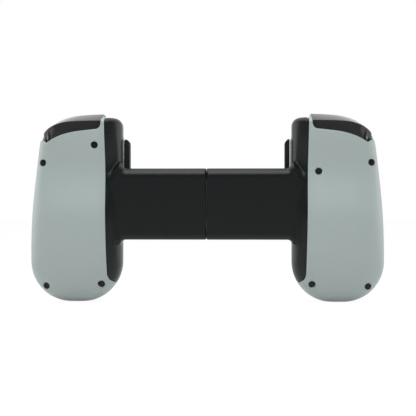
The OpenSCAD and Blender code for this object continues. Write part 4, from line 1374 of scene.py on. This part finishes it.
def cross(x: float, z: float, reach: float, half: float, radius: float, inner: float = 0.7) -> list[Flat]:
    """Outline of a cross with rounded corners.

    Args:
        x: place of its middle along the bridge.
        z: height of its middle.
        reach: length of an arm from the middle.
        half: half of an arm's width.
        radius: radius of the arms' corners.
        inner: share of it that the corners between the arms have.

    Returns:
        Points of the outline.
    """
    turn = [(reach, -half), (reach, half), (half, half)]
    corners: list[tuple[float, float, float]] = []
    for _ in range(4):
        corners += [(x + px, z + pz, radius if abs(px) != abs(pz) else radius * inner) for px, pz in turn]
        turn = [(-pz, px) for px, pz in turn]
    return rounded(corners, 5)


@dataclass
class Trigger:
    """Glossy trigger: a light top band, a crease and a face that swings inside the cover's notch."""

    form: GripForm
    cover: RearCover
    side: Side
    ends: Flat = (51.5, 81.2)
    # Y and Z of the pin, and the top band's height at the inner and the outer end.
    pin: Flat = (-1.2, 83.0)
    band: Flat = (3.9, 0.9)
    band_power: float = 2.5
    slack: float = 1.3
    side_gap: float = 0.05
    least_reach: float = 0.6
    least_square: float = 0.09
    lap: float = 1.9
    lean_share: float = 0.12
    lean_most: float = 1.2
    front: float = -0.15
    front_rise: float = 0.3
    swing: float = math.radians(13)
    crease_in: float = 0.15
    crease_least: float = 0.8
    foot_in: float = 0.1
    foot_r: float = 0.2
    heel_gap: float = 0.3
    heel_r: float = 0.1
    bow: float = 0.28
    bow_at: Sequence[float] = (0.3, 0.5, 0.7)
    rim_r: float = 0.55
    rim_shares: Flat = (0.8, 0.7)
    rows: int = 44
    sharp: float = 38.0
    wall: float = 1.6
    wall_top: float = 1.2
    hollow_in: Flat = (1.4, 4.0)
    arms: Sequence[float] = (57.7, 76.2)
    arm_t: float = 1.8
    # How far the arms' corners lie inside the front and the top, the crease, and the foot.
    arm_front: Flat = (1.5, 1.8)
    arm_crease: Flat = (1.5, 0.9)
    arm_foot: Flat = (0.9, 1.2)
    hub_r: float = 2.0
    hub_span: Flat = (-2.4, 0.7)
    bore_r: float = 1.06
    bore_span: Flat = (50.0, 85.0)

    def share(self, x: float) -> float:
        """Way along the trigger from its inner to its outer end."""
        low, high = self.ends
        return min(1.0, max(0.0, (x - low) / (high - low)))

    def crease_at(self, x: float) -> float:
        """Height of the crease between the top band and the face."""
        return self.form.top_edge(x) - mix(*self.band, self.share(x)**self.band_power)

    def reach_at(self, x: float) -> float:
        """Room for the trigger round its pin, under the cover.

        Args:
            x: place along the trigger.

        Returns:
            Radius of the room.
        """
        face, (pin_y, pin_z) = self.cover.face, self.pin
        turn, way = face.chart(min(x, self.form.outer_edge(pin_z) - self.side_gap), pin_z)
        return max(self.least_reach, abs(face.at(turn, way).y) - self.slack + pin_y)

    def depth_at(self, x: float, z: float) -> float:
        """Y of the widest circle round the pin at a height."""
        square = self.reach_at(x)**2 - (z - self.pin[1])**2
        return self.pin[0] - math.sqrt(max(self.least_square, square))

    def section(self, x: float, inset: float = 0.0) -> list[tuple[float, float, float]]:
        """Ring of points at a place along the trigger.

        Args:
            x: the place.
            inset: distance that the ring is drawn in by, for the hollow inside.

        Returns:
            The points.
        """
        top, crease = self.form.top_edge(x) - inset * self.wall_top, self.crease_at(x) - inset
        low = self.cover.rim_at(x) - self.lap - inset
        lean = min(self.lean_most, self.reach_at(x) * self.lean_share)
        edge = min(self.depth_at(x, crease) + self.crease_in, self.front - self.crease_least) + inset
        foot = max(edge - lean, self.depth_at(x, low) + self.foot_in)
        front = self.front + inset
        drop = max(0.0, self.pin[1] - low)
        heel = max(foot + self.heel_gap, front - drop * math.tan(self.swing))
        bow = [(mix(edge, foot, t) + self.bow * math.sin(math.pi * t), mix(crease, low, t), 0)
               for t in self.bow_at]
        top_r, crease_r = (min(self.rim_r, abs(edge - front) / 3) * share for share in self.rim_shares)
        corners = [(front, top, top_r), (edge, crease, crease_r), *bow, (foot, low, self.foot_r),
                   (heel, low, self.heel_r), (front, low + drop + self.front_rise, 0)]
        return [(x, y, z) for y, z in rounded(corners, 6)]

    def build(self) -> bpy.types.Object:
        """Makes the trigger and puts it in the frame.

        Returns:
            The trigger.
        """
        (low, high), (inner, outer) = self.ends, self.hollow_in
        mould = Mould().rings([self.section(mix(low, high, share)) for share in crowded(self.rows)])
        body = mould.cast(self.side.node("trigger_skin"), TRIM, self.side)
        stops = np.linspace(low + inner, high - outer, 24)
        hollow = Mould().rings([self.section(x, self.wall) for x in stops])
        cut(body, hollow.cast("hollow", TRIM, self.side))
        smooth(body, self.sharp)
        fit(self.arm_pair(), self.side.node("trigger"), TRIM)
        return fit(body, self.side.node("trigger"), TRIM, self.side.node("trigger"))

    def arm_pair(self) -> bpy.types.Object:
        """The two arms from the face to the pin.

        Returns:
            The arms, as one piece.
        """
        mould = Mould()
        y, z = self.pin
        for x in self.arms:
            top, crease, rim = self.form.top_edge(x), self.crease_at(x), self.cover.rim_at(x)
            deep = self.depth_at(x, crease)
            line = [(y + self.hub_r * math.cos(a), z + self.hub_r * math.sin(a))
                    for a in np.linspace(*self.hub_span, 12)]
            line += [(self.front - self.arm_front[0], top - self.arm_front[1]),
                     (deep + self.arm_crease[0], crease - self.arm_crease[1]),
                     (deep + self.arm_foot[0], rim - self.arm_foot[1])]
            mould.rings([[(at, py, pz) for py, pz in line] for at in (x, x + self.arm_t)])
        arms = mould.cast(self.side.node("trigger_arms"), TRIM, self.side)
        bore = [[(x, y + self.bore_r * math.cos(a), z + self.bore_r * math.sin(a))
                 for a in np.linspace(0, math.tau, 24, False)] for x in self.bore_span]
        cut(arms, Mould().rings(bore).cast("bore", TRIM, self.side))
        smooth(arms)
        return arms


@dataclass
class Bumper:
    """Shoulder button in front of a trigger."""

    form: GripForm
    side: Side
    low: float = 85.45
    start: float = 51.5
    span: Flat = (0.3, 6.85)
    under: float = 0.3
    side_gap: float = 0.05
    top_step: float = 1.0
    rows: int = 30
    bevel: float = 0.7

    def build(self) -> bpy.types.Object:
        """Makes the button and puts it in the frame.

        Returns:
            The button.
        """
        tall = max(self.form.top_edge(self.start), self.form.height)
        heights = [mix(self.low, tall, share) for share in crowded(self.rows)]
        curve = [(self.form.outer_edge(z) - self.side_gap, z) for z in heights]
        line = [(self.start, self.low)] + [(x, min(z, self.form.top_edge(x) - self.under)) for x, z in curve]
        last = curve[-1][0] - self.top_step
        line += [(x, self.form.top_edge(x) - self.under) for x in np.linspace(last, self.start, 10)]
        rows = [[(x, y, z) for x, z in line] for y in self.span]
        piece = Mould().rings(rows).cast(self.side.node("bumper_skin"), TRIM, self.side)
        round_edges(piece, self.bevel, 4)
        apply_modifiers(piece)
        smooth(piece)
        return fit(piece, self.side.node("bumper"), TRIM, self.side.node("bumper"))


def round_edges(piece: bpy.types.Object, width: float, segments: int = 3, angle: float = 32.0) -> None:
    """Rounds a piece's sharp edges with a bevel.

    Args:
        piece: the piece.
        width: width of the bevel in millimetres.
        segments: number of steps of the round.
        angle: edges sharper than this are rounded, in degrees.
    """
    bevel = piece.modifiers.new("rounded", "BEVEL")
    bevel.width, bevel.segments, bevel.limit_method = width * MM, segments, "ANGLE"
    bevel.angle_limit = math.radians(angle)
    bevel.use_clamp_overlap = True


class Inside:
    """Pieces that keep the solids' own shape and get a finish and softened edges."""

    FINISHES: dict[str, Finish] = {
        "phone_pad": RUBBER, "trigger_pin": STEEL, "trigger_spring": STEEL, "bumper_pin": STEEL,
        "bumper_switch": INNER, "stick_module": INNER, "stick_carriage": INNER, "stick_yoke": INNER,
        "stick_lever": STEEL, "stick_cap": RUBBER, "circuit_board": BOARD, "rack": INNER,
        "return_spring": STEEL, "cover_screws": BLACK_STEEL, "bridge_cover": HOUSING, "slide_plate": STEEL,
        "pinion": INNER, "flex_cable": RIBBON, "button_membrane": SILICONE, "direction_membrane": SILICONE,
        "phone_plug": STEEL, "charging_socket": STEEL, "headphone_socket": INNER, "direction_pivot": STEEL,
        "direction_seat": INNER, "direction_pad": CONTROL, "button": CONTROL,
    }
    SOFTENED: dict[str, float] = {"phone_pad": 0.5, "button": 0.25, "direction_pad": 0.3, "bridge_cover": 0.3,
                                  "stick_cap": 0.3, "cover_screws": 0.12}
    SHARP: float = 30.0

    def finish_of(self, node: str) -> Finish:
        """Finish of a node, by the end of its name."""
        return next(finish for key, finish in self.FINISHES.items() if node.endswith(key))

    def dress(self, shown: Iterable[str]) -> None:
        """Gives nodes their finish.

        Args:
            shown: names of the nodes that no other piece stands for.
        """
        for node in shown:
            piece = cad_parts[node]
            piece.data.materials.clear()
            piece.data.materials.append(self.finish_of(node).material())
            smooth(piece, self.SHARP)
            width = next((wide for key, wide in self.SOFTENED.items() if node.endswith(key)), 0.0)
            if width:
                round_edges(piece, width)
            log.info("%s keeps its own shape", node)


@dataclass(frozen=True)
class Lamp:
    """A soft square lamp: its place and edge in millimetres, and its watts."""

    name: str
    place: tuple[float, float, float]
    size: float
    power: float

    def aim(self, centre: tuple[float, float, float]) -> None:
        """Adds the lamp to the scene.

        Args:
            centre: place that it shines at.
        """
        data = bpy.data.lights.new(self.name, "AREA")
        data.size, data.energy = self.size * MM, self.power
        lamp = bpy.data.objects.new(self.name, data)
        lamp.location = Vector(self.place) * MM
        lamp.rotation_euler = (Vector(centre) - Vector(self.place)).to_track_quat("-Z", "Y").to_euler()
        bpy.context.scene.collection.objects.link(lamp)


@dataclass
class Studio:
    """Camera, white room and soft lamps."""

    lamps: Sequence[Lamp] = (
        Lamp("front", (0, -340, 620), 460, 2.7),
        Lamp("top", (-60, -60, 720), 520, 1.5),
        Lamp("side", (-600, 160, 60), 420, 0.9),
        Lamp("side", (600, 160, 60), 420, 0.9),
    )
    centre: tuple[float, float, float] = (0.525, 0.0, 46.53)
    distance: float = 450.0
    yaw: float = math.radians(1.7)
    width: float = 207.54
    near: float = 0.01
    white: float = 1.0
    floor_half: float = 3000.0
    floor_z: float = -0.02
    floor_tint: float = 0.92
    floor_share: float = 0.9
    floor_glow: float = 1.045
    dark: Color = (0.02, 0.022, 0.022)
    bright: Color = (1.0, 1.0, 1.0)
    behind: float = 0.50
    above: float = 0.15
    level: float = 0.40
    mirror_from: float = 0.15

    def build(self) -> None:
        """Sets up camera, world, floor and lamps."""
        scene = bpy.context.scene
        scene.view_settings.view_transform = "Standard"
        self.camera(scene)
        self.world(scene)
        self.floor()
        for lamp in self.lamps:
            lamp.aim(self.centre)

    def camera(self, scene: bpy.types.Scene) -> None:
        """Places the camera.

        Args:
            scene: scene that looks through it.
        """
        data = bpy.data.cameras.new("camera")
        data.lens = data.sensor_width * self.distance / self.width
        data.clip_start = self.near
        eye = bpy.data.objects.new("camera", data)
        x, y, z = self.centre
        across, back = self.distance * math.sin(self.yaw), self.distance * math.cos(self.yaw)
        eye.location = ((x + across) * MM, (y - back) * MM, z * MM)
        eye.rotation_euler = (math.pi / 2, 0, self.yaw)
        scene.collection.objects.link(eye)
        scene.camera = eye

    def world(self, scene: bpy.types.Scene) -> None:
        """White to the camera; to the object, bright behind and above it and darker on the camera's side.

        Args:
            scene: scene that gets the world.
        """
        world = bpy.data.worlds.new("room")
        world.use_nodes = True
        scene.world = world
        graph = Graph(world.node_tree)
        way = graph.node("ShaderNodeTexCoord", {}, {}, "Generated")
        across, up = (graph.node("ShaderNodeSeparateXYZ", {}, {0: way}, axis) for axis in "YZ")
        glow = (across * self.behind + up * self.above + self.level).clamped()
        tone = graph.blend(glow, self.dark, self.bright)
        mirrored = graph.rays("Is Glossy Ray", "Is Transmission Ray") * (across > self.mirror_from)
        seen = (graph.rays("Is Camera Ray") + mirrored).clamped()
        tone = graph.blend(seen, tone, (self.white,) * 3)
        graph.end(graph.node("ShaderNodeBackground", {}, {"Color": tone, "Strength": 1.0}), "World")

    def floor(self) -> None:
        """Lays a pale floor that shows a faint shadow."""
        mould = Mould()
        mould.cap(mould.add((a * self.floor_half, b * self.floor_half, self.floor_z) for a, b in SQUARE))
        piece = mould.cast("floor", COVER)
        made = bpy.data.materials.new("pale_floor")
        made.use_nodes = True
        graph = Graph(made.node_tree)
        matt = graph.node("ShaderNodeBsdfDiffuse", {}, {"Color": (*(self.floor_tint,) * 3, 1.0)})
        light = {"Color": (*self.bright, 1.0), "Strength": self.floor_glow}
        lit = graph.node("ShaderNodeEmission", {}, light)
        seen = graph.rays("Is Camera Ray", "Is Glossy Ray", "Is Transmission Ray")
        shares = {0: seen * self.floor_share, 1: matt, 2: lit}
        graph.end(graph.node("ShaderNodeMixShader", {}, shares), "Material")
        piece.data.materials.clear()
        piece.data.materials.append(made)


SKINNED = ("rear_cover", "bridge_housing", "front_shell", "trigger", "bumper")


def main() -> None:
    """Builds the controller's looks piece by piece and sets up the picture."""
    logging.basicConfig(level=logging.INFO, format="%(name)s: %(message)s")
    form = GripForm()
    covered: set[str] = set()
    for side in Side:
        cover = RearCover(form, side)
        builders = (cover, BridgeHousing(cover, side), FrontShell(form, side), Trigger(form, cover, side),
                    Bumper(form, side))
        for builder in builders:
            builder.build()
        covered |= {side.node(name) for name in SKINNED}
    Inside().dress(sorted(set(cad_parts) - covered))
    Studio().build()


if __name__ == "__main__":
    main()
